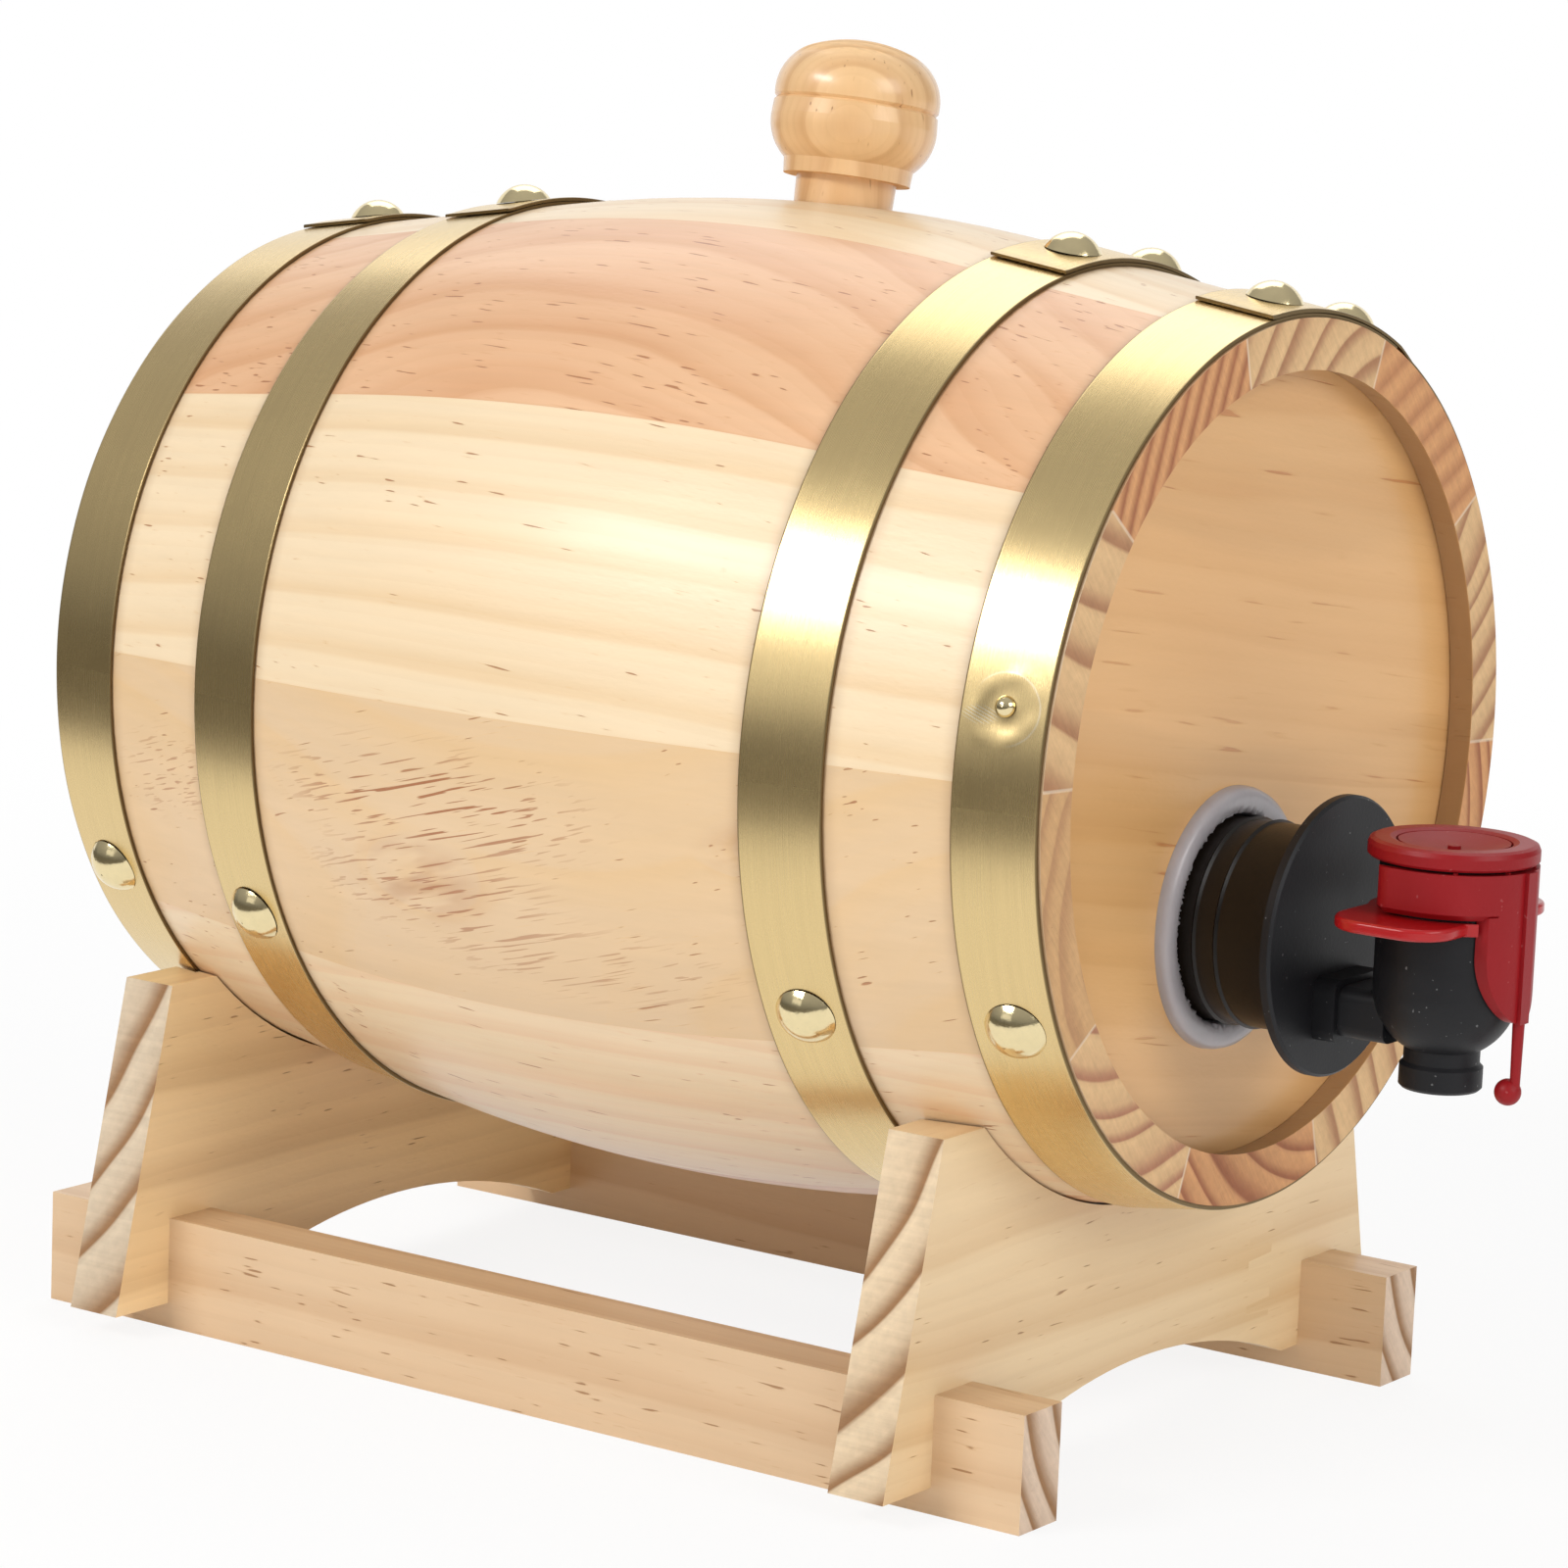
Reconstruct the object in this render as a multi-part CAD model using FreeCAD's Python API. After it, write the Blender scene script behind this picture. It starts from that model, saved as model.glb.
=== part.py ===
import FreeCAD, Part
import math
import os
from FreeCAD import Placement, Rotation, Vector

# Table-top cask drink dispenser: ten-stave cask on a pine cradle, with a push tap and a turned bung.
# Millimetres, +Z up, cask axis along Y, tap facing -Y, origin on the table under the overall middle.

# Cask
cask_length = 172.2
end_radius = 62.0
cone_angle = 8.4
bulge_reach = 39.0
stave_wall = 7.2
stave_count = 10
stave_joint_angle = 33.0
cask_shift = -4.7
axis_height = 99.3

# Heads
head_recess = 4.2
head_thickness = 7.0
croze_depth = 2.2
croze_gap = 0.15

# Hoops: strips bent round the cone ends and riveted where they lap
hoop_width = 12.3
hoop_thickness = 0.5
hoop_gap = 0.05
end_hoop_inset = 0.3
bilge_hoop_station = 48.7
lap_reach = 38.0
lap_joggle = 4.0
lap_clearance = 0.05
end_lap_angle = 98.0
bilge_lap_angle = 101.0
rivet_inset_angle = 9.5

# Round-headed fasteners
nail_angle = -151.5
nail_radius = 4.4
nail_height = 2.6
nail_shank_radius = 1.1
nail_shank_length = 5.5
rivet_radius = 4.1
rivet_height = 2.5
rivet_shank_radius = 1.3
brad_angle = 167.4
brad_radius = 1.45
brad_height = 1.1
brad_shank_radius = 0.6
brad_shank_length = 5.0
shank_clearance = 0.05
head_seat_gap = 0.05

# Bung, measured upwards from where its stem leaves the cask
bung_lean = 9.5
bung_stem_depth = 10.0
bung_stem_radius = 7.3
bung_taper = 1.8
bung_fit = 0.25
bung_collar_radius = 9.6
bung_collar_base = 3.9
bung_collar_height = 2.2
bung_radius = 12.3
bung_waist = 12.2
bung_groove_height = 14.7
bung_groove_depth = 0.55
bung_groove_half = 0.4
bung_height = 24.4

# Cradle
rail_length = 175.4
rail_width = 9.3
rail_height = 16.7
rail_outer = 54.0
board_thickness = 9.0
board_outer_face = 73.2
board_lift = 3.7
board_foot_half = 65.5
board_top_half = 54.5
board_top = 52.2
arch_half_span = 40.0
arch_rise = 7.4
saddle_gap = 0.3
finger_base = 8.6
finger_start = 29.0
finger_length = 6.5
finger_pitch = 3.4
finger_flat = 0.4

# Gland ring glued in the front head
tap_offset = -6.5
tap_height = 78.0
gland_radius = 18.5
gland_lip = 2.0
gland_sleeve_radius = 16.4
gland_reach = 12.0
gland_hole_gap = 0.15

# Tap body
neck_radius = 14.3
neck_fit = 0.08
neck_wall = 1.8
neck_reach = 9.0
neck_bead = 0.35
neck_bead_pitch = 3.4
flange_radius = 19.5
flange_thickness = 1.5
flange_stand = 16.6
valve_stand = 16.5
housing_radius = 9.9
housing_wall = 1.5
ball_height = 73.2
seat_height = 66.0
spout_radius = 5.2
spout_lip_radius = 5.7
spout_lip_height = 3.7
spout_length = 5.6
spout_bore = 4.9
seat_thickness = 1.1
seat_radius = 3.6
foot_half_width = 7.0
foot_top = -4.8
foot_bottom = -13.6
foot_depth = 3.4
duct_inset = 0.9
duct_radius = 2.6

# Finger grip, button and tear-off guard
grip_height = 82.6
grip_thickness = 1.7
grip_half_width = 18.0
grip_half_length = 8.7
grip_corner = 6.0
grip_band = 1.2
grip_front_gap = 0.6
grip_setback = 1.5
grip_rounding = 0.3
rim_radius = 11.65
rim_thickness = 2.6
rim_round = 0.9
rim_opening = 7.9
rim_seat = 91.3
pad_gap = 0.3
pad_thickness = 1.6
pad_dish = 1.1
pad_nib_radius = 0.9
pad_nib_height = 0.5
press_travel = 3.5
stem_radius = 1.5
plug_radius = 4.4
plug_thickness = 1.6
plug_gap = 0.3
plug_cover = 1.0
guard_gap = 0.4
guard_fit = 0.3
guard_wall = 1.45
guard_arm = 6.0
guard_arm_rounding = 2.6
guard_chamfer = 0.8
shield_half_width = 6.8
shield_centre = 79.8
shield_end = 70.2
guard_rib_width = 2.4
guard_rib_proud = 0.5
tail_radius = 0.85
drop_height = 60.6
drop_radius = 1.85
bridge_count = 4
bridge_size = 0.5

# Sizes that follow from the ones above
half_length = cask_length / 2.0
cone = math.radians(cone_angle)
end_slope = math.tan(cone)
bilge_arc = bulge_reach / math.sin(cone)
bulge_radius = end_radius + (half_length - bulge_reach) * end_slope
bilge_radius = bulge_radius + bilge_arc * (1.0 - math.cos(cone))
stave_angle = 360.0 / stave_count
end_hoop_station = half_length - end_hoop_inset - hoop_width / 2.0
head_face = half_length - head_recess
head_radius = end_radius - stave_wall + head_recess * end_slope + croze_depth
gland_face = cask_shift - head_face
flange_face = gland_face - gland_lip - flange_stand
valve_y = flange_face - valve_stand
spout_end = seat_height - plug_gap - plug_thickness - press_travel - plug_cover
spout_lip_top = spout_end + spout_lip_height
spout_top = spout_end + spout_length
guard_outer = housing_radius + guard_fit + guard_wall
guard_top = rim_seat - guard_gap
guard_base = grip_height + grip_thickness + guard_gap
rail_centre = rail_outer - rail_width / 2.0
front_reach = valve_y - guard_outer - guard_rib_proud
rear_reach = max(rail_length / 2.0, cask_shift + half_length)
cradle_y = -(front_reach + rear_reach) / 2.0

ORIGIN = Vector(0, 0, 0)
X_AXIS = Vector(1, 0, 0)
Y_AXIS = Vector(0, 1, 0)
Z_AXIS = Vector(0, 0, 1)
TURN = Vector(0, -1, 0)
HOOPS = [
    ("hoop_front_end", -end_hoop_station, end_lap_angle),
    ("hoop_front_bilge", -bilge_hoop_station, bilge_lap_angle),
    ("hoop_rear_bilge", bilge_hoop_station, bilge_lap_angle),
    ("hoop_rear_end", end_hoop_station, end_lap_angle),
]


def line(start, end):
    return Part.LineSegment(start, end).toShape()


def arc(start, middle, end):
    return Part.Arc(start, middle, end).toShape()


def outline(points):
    return Part.makePolygon(points + [points[0]])


def prism(points, direction):
    return Part.Face(outline(points)).extrude(direction)


def box(x_low, x_high, y_low, y_high, z_low, z_high):
    corner = Vector(x_low, y_low, z_low)
    return Part.makeBox(x_high - x_low, y_high - y_low, z_high - z_low, corner)


def turned_about_z(points):
    """A solid turned about Z from an outline of (radius, height) points."""
    face = Part.Face(outline([Vector(radius, 0, height) for radius, height in points]))
    return face.revolve(ORIGIN, Z_AXIS, 360)


def turned_about_y(points):
    """A solid turned about Y from an outline of (radius, station) points."""
    face = Part.Face(outline([Vector(radius, station, 0) for radius, station in points]))
    return face.revolve(ORIGIN, Y_AXIS, 360)


def moved(shape, x, y, z):
    copy = shape.copy()
    copy.translate(Vector(x, y, z))
    return copy


def in_cask_place(shape):
    return moved(shape, 0, cradle_y + cask_shift, axis_height)


def in_tap_place(shape, y):
    return moved(shape, tap_offset, cradle_y + y, tap_height)


def on_valve_axis(shape):
    return moved(shape, tap_offset, cradle_y + valve_y, 0)


def radial(angle):
    """Unit vector across the cask, from +X at 0 degrees to +Z at 90."""
    turn = math.radians(angle)
    return Vector(math.cos(turn), 0, math.sin(turn))


def cone_radius(station):
    """Radius of the cask's straight end cones at a station along its axis."""
    return end_radius + (half_length - abs(station)) * end_slope


def cask_outline(offset, y_end):
    """Edges of the cask's long profile, moved out from the wood by offset."""
    end = cone_radius(y_end) + offset
    shoulder = bulge_radius + offset
    crown = bilge_radius + offset
    return [
        line(Vector(end, -y_end, 0), Vector(shoulder, -bulge_reach, 0)),
        arc(Vector(shoulder, -bulge_reach, 0), Vector(crown, 0, 0), Vector(shoulder, bulge_reach, 0)),
        line(Vector(shoulder, bulge_reach, 0), Vector(end, y_end, 0)),
    ]


def stave_blank():
    """One stave, from 0 degrees to the stave angle, with its two head grooves."""
    outer = cask_outline(0.0, half_length)
    inner = cask_outline(-stave_wall, half_length)
    ends = []
    for side in (-1, 1):
        inner_end = Vector(end_radius - stave_wall, side * half_length, 0)
        ends.append(line(inner_end, Vector(end_radius, side * half_length, 0)))
    face = Part.Face(Part.Wire(Part.__sortEdges__(outer + inner + ends)))
    blank = face.revolve(ORIGIN, TURN, stave_angle)
    groove_radius = head_radius + croze_gap
    for side in (-1, 1):
        outer_face = side * (head_face + croze_gap)
        inner_face = side * (head_face - head_thickness - croze_gap)
        low = min(outer_face, inner_face)
        groove = Part.makeCylinder(groove_radius, abs(outer_face - inner_face), Vector(0, low, 0), Y_AXIS)
        blank = blank.cut(groove)
    return blank


def bung_hole():
    top = bilge_radius + 1.0
    bottom = bilge_radius - stave_wall - 1.0
    widest = bung_stem_radius_at(1.0) + bung_fit
    narrowest = bung_stem_radius_at(-stave_wall - 1.0) + bung_fit
    hole = Part.makeCone(narrowest, widest, top - bottom, Vector(0, 0, bottom))
    hole.rotate(ORIGIN, Y_AXIS, bung_lean)
    return hole


def bung_stem_radius_at(height):
    return bung_stem_radius + height * math.tan(math.radians(bung_taper))


def cap_arc(radius, base, height):
    """The arc of a ball's cap from its rim, at the given base height, to its top on the Z axis."""
    ball = (radius ** 2 + height ** 2) / (2.0 * height)
    half_angle = math.asin(min(1.0, radius / ball)) / 2.0
    centre = base + height - ball
    middle = Vector(ball * math.sin(half_angle), 0, centre + ball * math.cos(half_angle))
    return arc(Vector(radius, 0, base), middle, Vector(0, 0, base + height))


def fastener(radius, height, shank_radius, shank_length):
    """A domed head on a shank, standing on the plane z = 0."""
    rim = Vector(radius, 0, 0)
    top = Vector(0, 0, height)
    edges = [
        cap_arc(radius, 0.0, height),
        line(top, Vector(0, 0, -shank_length)),
        line(Vector(0, 0, -shank_length), Vector(shank_radius, 0, -shank_length)),
        line(Vector(shank_radius, 0, -shank_length), Vector(shank_radius, 0, 0)),
        line(Vector(shank_radius, 0, 0), rim),
    ]
    return Part.Face(Part.Wire(edges)).revolve(ORIGIN, Z_AXIS, 360)


def stood_on_hoop(shape, station, angle, layers):
    """Stand a shape square on a hoop, over one strip or two."""
    side = 1.0 if station > 0 else -1.0
    out = radial(angle) * math.cos(cone) + Y_AXIS * (side * math.sin(cone))
    strips = layers * hoop_thickness + (layers - 1) * lap_clearance
    foot = radial(angle) * cone_radius(station) + Y_AXIS * station
    foot = foot + out * (hoop_gap + strips + head_seat_gap)
    copy = shape.copy()
    copy.Placement = Placement(foot, Rotation(Z_AXIS, out))
    return copy


def nail_shapes(station):
    nail = fastener(nail_radius, nail_height, nail_shank_radius, nail_shank_length)
    return [stood_on_hoop(nail, station, nail_angle, 1)]


def shank_hole(radius, depth):
    """A hole for a shank, from its end up to just above the plane z = 0."""
    height = depth + shank_clearance + 2 * hoop_thickness
    return Part.makeCylinder(radius + shank_clearance, height, Vector(0, 0, -depth - shank_clearance))


def nail_holes(station):
    hole = shank_hole(nail_shank_radius, nail_shank_length)
    return [stood_on_hoop(hole, station, nail_angle, 1)]


def rivet_angles(lap_angle):
    return [lap_angle - rivet_inset_angle, lap_angle - lap_reach + rivet_inset_angle]


def rivet_shapes(station, lap_angle):
    shank = 2 * hoop_thickness + lap_clearance + head_seat_gap
    rivet = fastener(rivet_radius, rivet_height, rivet_shank_radius, shank)
    return [stood_on_hoop(rivet, station, angle, 2) for angle in rivet_angles(lap_angle)]


def rivet_holes(station, lap_angle):
    hole = shank_hole(rivet_shank_radius, 3 * hoop_thickness)
    return [stood_on_hoop(hole, station, angle, 2) for angle in rivet_angles(lap_angle)]


def brad_shape():
    brad = fastener(brad_radius, brad_height, brad_shank_radius, brad_shank_length)
    return stood_on_hoop(brad, -end_hoop_station, brad_angle, 1)


def brad_hole():
    hole = shank_hole(brad_shank_radius, brad_shank_length)
    return stood_on_hoop(hole, -end_hoop_station, brad_angle, 1)


def strip(station, inner_offset, thickness, first_angle, last_angle):
    """Part of a cone strip over the wood, from one angle round to another."""
    near = station - hoop_width / 2.0
    far = station + hoop_width / 2.0
    points = [
        Vector(cone_radius(near) + inner_offset, near, 0),
        Vector(cone_radius(far) + inner_offset, far, 0),
        Vector(cone_radius(far) + inner_offset + thickness, far, 0),
        Vector(cone_radius(near) + inner_offset + thickness, near, 0),
    ]
    piece = Part.Face(outline(points)).revolve(ORIGIN, TURN, last_angle - first_angle)
    piece.rotate(ORIGIN, TURN, first_angle)
    return piece


def hoop(station, lap_angle):
    """A strip right round the cask whose free end laps over its hidden end."""
    step = lap_angle - lap_reach
    hidden_end = step + lap_joggle + 1.0
    base = strip(station, hoop_gap, hoop_thickness, hidden_end, step + 360.0)
    outer_offset = hoop_gap + hoop_thickness + lap_clearance
    joggle_thickness = 2 * hoop_thickness + lap_clearance
    joggle = strip(station, hoop_gap, joggle_thickness, step, step + lap_joggle)
    lap = strip(station, outer_offset, hoop_thickness, step + lap_joggle, lap_angle)
    band = base.fuse(joggle).fuse(lap).removeSplitter()
    for hole in rivet_holes(station, lap_angle) + nail_holes(station):
        band = band.cut(hole)
    return band


def head():
    return Part.makeCylinder(head_radius, head_thickness, Vector(0, head_face - head_thickness, 0), Y_AXIS)


def front_head():
    disc = Part.makeCylinder(head_radius, head_thickness, Vector(0, -head_face, 0), Y_AXIS)
    hole_radius = gland_sleeve_radius + gland_hole_gap
    start = Vector(tap_offset, -head_face - 1.0, tap_height - axis_height)
    return disc.cut(Part.makeCylinder(hole_radius, head_thickness + 2.0, start, Y_AXIS))


def bung():
    collar_top = bung_collar_base + bung_collar_height
    stem_end = bung_stem_radius_at(-bung_stem_depth)
    stem_top = bung_stem_radius_at(bung_collar_base)
    groove_low = bung_groove_height - bung_groove_half
    groove_high = bung_groove_height + bung_groove_half
    groove_edge = bung_radius - 0.15
    step = 0.25
    dome = bung_height - groove_high

    def at(radius, height):
        return Vector(radius, 0, height)

    edges = [
        line(at(0, -bung_stem_depth), at(stem_end, -bung_stem_depth)),
        line(at(stem_end, -bung_stem_depth), at(stem_top, bung_collar_base)),
        line(at(stem_top, bung_collar_base), at(bung_collar_radius - 0.2, bung_collar_base)),
        line(at(bung_collar_radius - 0.2, bung_collar_base), at(bung_collar_radius, collar_top)),
        line(at(bung_collar_radius, collar_top), at(bung_collar_radius + step, collar_top + step)),
        arc(
            at(bung_collar_radius + step, collar_top + step),
            at(bung_radius - 0.55, (collar_top + bung_waist) / 2.0),
            at(bung_radius, bung_waist),
        ),
        line(at(bung_radius, bung_waist), at(groove_edge, groove_low)),
        line(at(groove_edge, groove_low), at(bung_radius - bung_groove_depth, bung_groove_height)),
        line(at(bung_radius - bung_groove_depth, bung_groove_height), at(groove_edge, groove_high)),
        arc(
            at(groove_edge, groove_high),
            at(bung_radius * 0.9, groove_high + dome * 0.53),
            at(bung_radius * 0.62, groove_high + dome * 0.84),
        ),
        cap_arc(bung_radius * 0.62, groove_high + dome * 0.84, dome * 0.16),
        line(at(0, bung_height), at(0, -bung_stem_depth)),
    ]
    solid = Part.Face(Part.Wire(edges)).revolve(ORIGIN, Z_AXIS, 360)
    solid.translate(Vector(0, 0, bilge_radius))
    solid.rotate(ORIGIN, Y_AXIS, bung_lean)
    return solid


def rail(side):
    centre = side * rail_centre
    half = rail_width / 2.0
    return box(centre - half, centre + half, -rail_length / 2.0, rail_length / 2.0, 0, rail_height)


def cask_clearance():
    """The space the cask and its hoops take up, grown by the saddle gap."""
    edges = cask_outline(saddle_gap, half_length)
    end = cone_radius(half_length) + saddle_gap
    for side in (-1, 1):
        edges.append(line(Vector(0, side * half_length, 0), Vector(end, side * half_length, 0)))
    edges.append(line(Vector(0, -half_length, 0), Vector(0, half_length, 0)))
    space = Part.Face(Part.Wire(Part.__sortEdges__(edges))).revolve(ORIGIN, Y_AXIS, 360)
    for name, station, lap_angle in HOOPS:
        low = station - hoop_width / 2.0 - saddle_gap
        high = station + hoop_width / 2.0 + saddle_gap
        grown = hoop_gap + hoop_thickness + saddle_gap
        points = [(0, low), (cone_radius(low) + grown, low), (cone_radius(high) + grown, high), (0, high)]
        space = space.fuse(turned_about_y(points))
    return moved(space, 0, cask_shift, axis_height)


def board(outer_face):
    """A saddle board whose outer face is at the given station from the cradle's middle."""
    inner_face = outer_face - math.copysign(board_thickness, outer_face)
    start = min(outer_face, inner_face)
    points = [
        Vector(-board_foot_half, start, board_lift),
        Vector(board_foot_half, start, board_lift),
        Vector(board_top_half, start, board_top),
        Vector(-board_top_half, start, board_top),
    ]
    blank = prism(points, Vector(0, board_thickness, 0))
    arch_radius = (arch_half_span ** 2 + arch_rise ** 2) / (2.0 * arch_rise)
    arch_centre = Vector(0, start - 1.0, board_lift + arch_rise - arch_radius)
    blank = blank.cut(Part.makeCylinder(arch_radius, board_thickness + 2.0, arch_centre, Y_AXIS))
    for side in (-1, 1):
        blank = blank.cut(rail(side))
    return blank.cut(cask_clearance())


def saddle_height(x):
    """Height of the front board's saddle at a distance x from the middle."""
    radius = cone_radius(board_thickness - board_outer_face - cask_shift) + saddle_gap
    return axis_height - math.sqrt(radius ** 2 - x ** 2)


def finger_region():
    """Everything beyond the zigzag glue line that joins the front board's two lengths."""
    root = finger_start
    tip = finger_start + finger_length
    flat = finger_pitch * finger_flat / 2.0
    points = [Vector(tip, 0, board_lift - 1.0)]
    count = int((saddle_height(root) - finger_base) / finger_pitch)
    for turn in range(count):
        low = finger_base + turn * finger_pitch
        middle = low + finger_pitch / 2.0
        points.append(Vector(root, 0, low - flat))
        points.append(Vector(root, 0, low + flat))
        points.append(Vector(tip, 0, middle - flat))
        points.append(Vector(tip, 0, middle + flat))
    points.append(Vector(root, 0, finger_base + count * finger_pitch - flat))
    top = board_top + board_thickness
    far = board_foot_half + board_thickness
    points.append(Vector(root, 0, top))
    points.append(Vector(far, 0, top))
    points.append(Vector(far, 0, board_lift - 1.0))
    for point in points:
        point.y = -board_outer_face - 1.0
    return prism(points, Vector(0, board_thickness + 2.0, 0))


def gland():
    """A soft ring on the head with a sleeve through it, turned about the tap's axis."""
    bore = neck_radius + neck_fit
    round_edge = gland_lip * 0.45
    points = [
        (bore, -gland_lip + 0.3),
        (bore + 0.3, -gland_lip),
        (gland_radius - round_edge, -gland_lip),
        (gland_radius - round_edge * 0.3, -gland_lip + round_edge * 0.3),
        (gland_radius, -gland_lip + round_edge),
        (gland_radius, 0),
        (gland_sleeve_radius, 0),
        (gland_sleeve_radius, gland_reach),
        (bore, gland_reach),
    ]
    return turned_about_y(points)


def neck_and_flange():
    """The hollow neck, its beads and the flange, turned about the tap's axis."""
    back = flange_stand + gland_lip
    bore = neck_radius - neck_wall
    first_bead = back - gland_lip - 1.6
    beads = [first_bead, first_bead - neck_bead_pitch]
    points = [(0, 0), (flange_radius - 0.4, 0), (flange_radius, 0.4), (flange_radius, flange_thickness)]
    points.append((neck_radius, flange_thickness))
    for bead in reversed(beads):
        points.append((neck_radius, bead - neck_bead))
        points.append((neck_radius + neck_bead, bead))
        points.append((neck_radius, bead + neck_bead))
    points.append((neck_radius, back + neck_reach))
    points.append((bore, back + neck_reach))
    points.append((bore, flange_thickness + neck_wall))
    points.append((0, flange_thickness + neck_wall))
    return in_tap_place(turned_about_y(points), flange_face)


def housing_edges(inner):
    """Half profile of the valve housing, outside or hollow, about the valve's axis."""

    def at(radius, height):
        return Vector(radius, 0, height)

    if inner:
        chamber = housing_radius - housing_wall
        floor = seat_height + seat_thickness
        edges = [
            line(at(0, rim_seat), at(chamber, rim_seat)),
            line(at(chamber, rim_seat), at(chamber, ball_height)),
            line(at(chamber, ball_height), at(seat_radius, floor)),
            line(at(seat_radius, floor), at(seat_radius, seat_height)),
            line(at(seat_radius, seat_height), at(spout_bore, seat_height)),
            line(at(spout_bore, seat_height), at(spout_bore, spout_end)),
            line(at(spout_bore, spout_end), at(0, spout_end)),
            line(at(0, spout_end), at(0, rim_seat)),
        ]
        return edges
    ball_middle = at(housing_radius * 0.86, ball_height - (ball_height - spout_top) * 0.6)
    lip = spout_lip_radius
    edges = [
        line(at(0, rim_seat), at(housing_radius, rim_seat)),
        line(at(housing_radius, rim_seat), at(housing_radius, ball_height)),
        arc(at(housing_radius, ball_height), ball_middle, at(spout_radius, spout_top)),
        line(at(spout_radius, spout_top), at(spout_radius, spout_lip_top)),
        line(at(spout_radius, spout_lip_top), at(lip, spout_lip_top - 0.5)),
        line(at(lip, spout_lip_top - 0.5), at(lip, spout_end + 0.4)),
        line(at(lip, spout_end + 0.4), at(lip - 0.4, spout_end)),
        line(at(lip - 0.4, spout_end), at(0, spout_end)),
        line(at(0, spout_end), at(0, rim_seat)),
    ]
    return edges


def housing(inner):
    face = Part.Face(Part.Wire(housing_edges(inner)))
    return on_valve_axis(face.revolve(ORIGIN, Z_AXIS, 360))


def duct_block(inset, y_start, y_end):
    """A box on the tap's axis between the flange and the housing, rounded along its corners."""
    half = foot_half_width - inset
    low = tap_height + foot_bottom + inset
    high = tap_height + foot_top - inset
    block = box(tap_offset - half, tap_offset + half, cradle_y + y_end, cradle_y + y_start, low, high)
    long_edges = [edge for edge in block.Edges if abs(edge.tangentAt(0).y) > 0.99]
    return block.makeFillet(1.8, long_edges)


def tap_body():
    foot = duct_block(0.0, flange_face, flange_face - foot_depth)
    duct = duct_block(duct_inset, flange_face, valve_y + housing_radius * 0.6)
    solid = neck_and_flange().fuse(foot).fuse(duct).fuse(housing(False))
    duct_centre = tap_height + (foot_top + foot_bottom) / 2.0
    start = Vector(tap_offset, cradle_y + valve_y, duct_centre)
    length = flange_face + flange_thickness + neck_wall + 1.0 - valve_y
    bore = Part.makeCylinder(duct_radius, length, start, Y_AXIS)
    solid = solid.cut(housing(True)).cut(bore)
    return solid.removeSplitter()


def finger_grip():
    """Two rounded wings on a clip round the housing, open in front behind the guard's tongue."""
    front = grip_setback - grip_half_length
    back = grip_setback + grip_half_length
    blank = box(-grip_half_width, grip_half_width, front, back, 0, grip_thickness)
    uprights = [edge for edge in blank.Edges if abs(edge.tangentAt(0).z) > 0.99]
    blank = blank.makeFillet(grip_corner, uprights)
    rims = [edge for edge in blank.Edges if abs(edge.BoundBox.ZMax - edge.BoundBox.ZMin) < 0.01]
    blank = blank.makeFillet(grip_thickness * grip_rounding, rims)
    blank = blank.fuse(Part.makeCylinder(housing_radius + grip_band, grip_thickness))
    start = Vector(0, 0, -grip_thickness / 2)
    blank = blank.cut(Part.makeCylinder(housing_radius, grip_thickness * 2, start))
    mouth = shield_half_width + grip_front_gap
    blank = blank.cut(box(-mouth, mouth, -2 * housing_radius, 0, -1, grip_thickness + 1))
    return on_valve_axis(moved(blank, 0, 0, grip_height))


def button_rim():
    """The fixed ring round the pad, rounded on its outer edges."""
    top = rim_seat + rim_thickness
    points = [
        (rim_opening, rim_seat),
        (rim_radius - rim_round * 0.4, rim_seat),
        (rim_radius, rim_seat + rim_round * 0.4),
        (rim_radius, top - rim_round),
        (rim_radius - rim_round * 0.3, top - rim_round * 0.3),
        (rim_radius - rim_round, top),
        (rim_opening + 0.8, top),
        (rim_opening, top - 0.3),
    ]
    return on_valve_axis(turned_about_z(points))


def button_pad():
    """The dished pad that is pressed, with a small nib in the middle."""
    radius = rim_opening - pad_gap
    edge_top = rim_seat + rim_thickness - 0.3
    centre_top = edge_top - pad_dish
    base = centre_top - pad_thickness
    disc = Part.makeCylinder(radius, edge_top - base, Vector(0, 0, base))
    dish_radius = (radius ** 2 + pad_dish ** 2) / (2.0 * pad_dish)
    disc = disc.cut(Part.makeSphere(dish_radius, Vector(0, 0, centre_top + dish_radius)))
    nib_start = Vector(0, 0, centre_top - pad_thickness / 2)
    nib = Part.makeCylinder(pad_nib_radius, pad_nib_height + pad_thickness / 2, nib_start)
    return on_valve_axis(disc.fuse(nib).removeSplitter())


def pad_base_height():
    return rim_seat + rim_thickness - 0.3 - pad_dish - pad_thickness


def valve_stem():
    plug_top = seat_height - plug_gap
    return on_valve_axis(Part.makeCylinder(stem_radius, pad_base_height() - plug_top, Vector(0, 0, plug_top)))


def valve_plug():
    top = seat_height - plug_gap
    points = [
        (0, top),
        (plug_radius, top),
        (plug_radius, top - plug_thickness / 2),
        (plug_radius - 0.8, top - plug_thickness),
        (0, top - plug_thickness),
    ]
    return on_valve_axis(turned_about_z(points))


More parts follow.
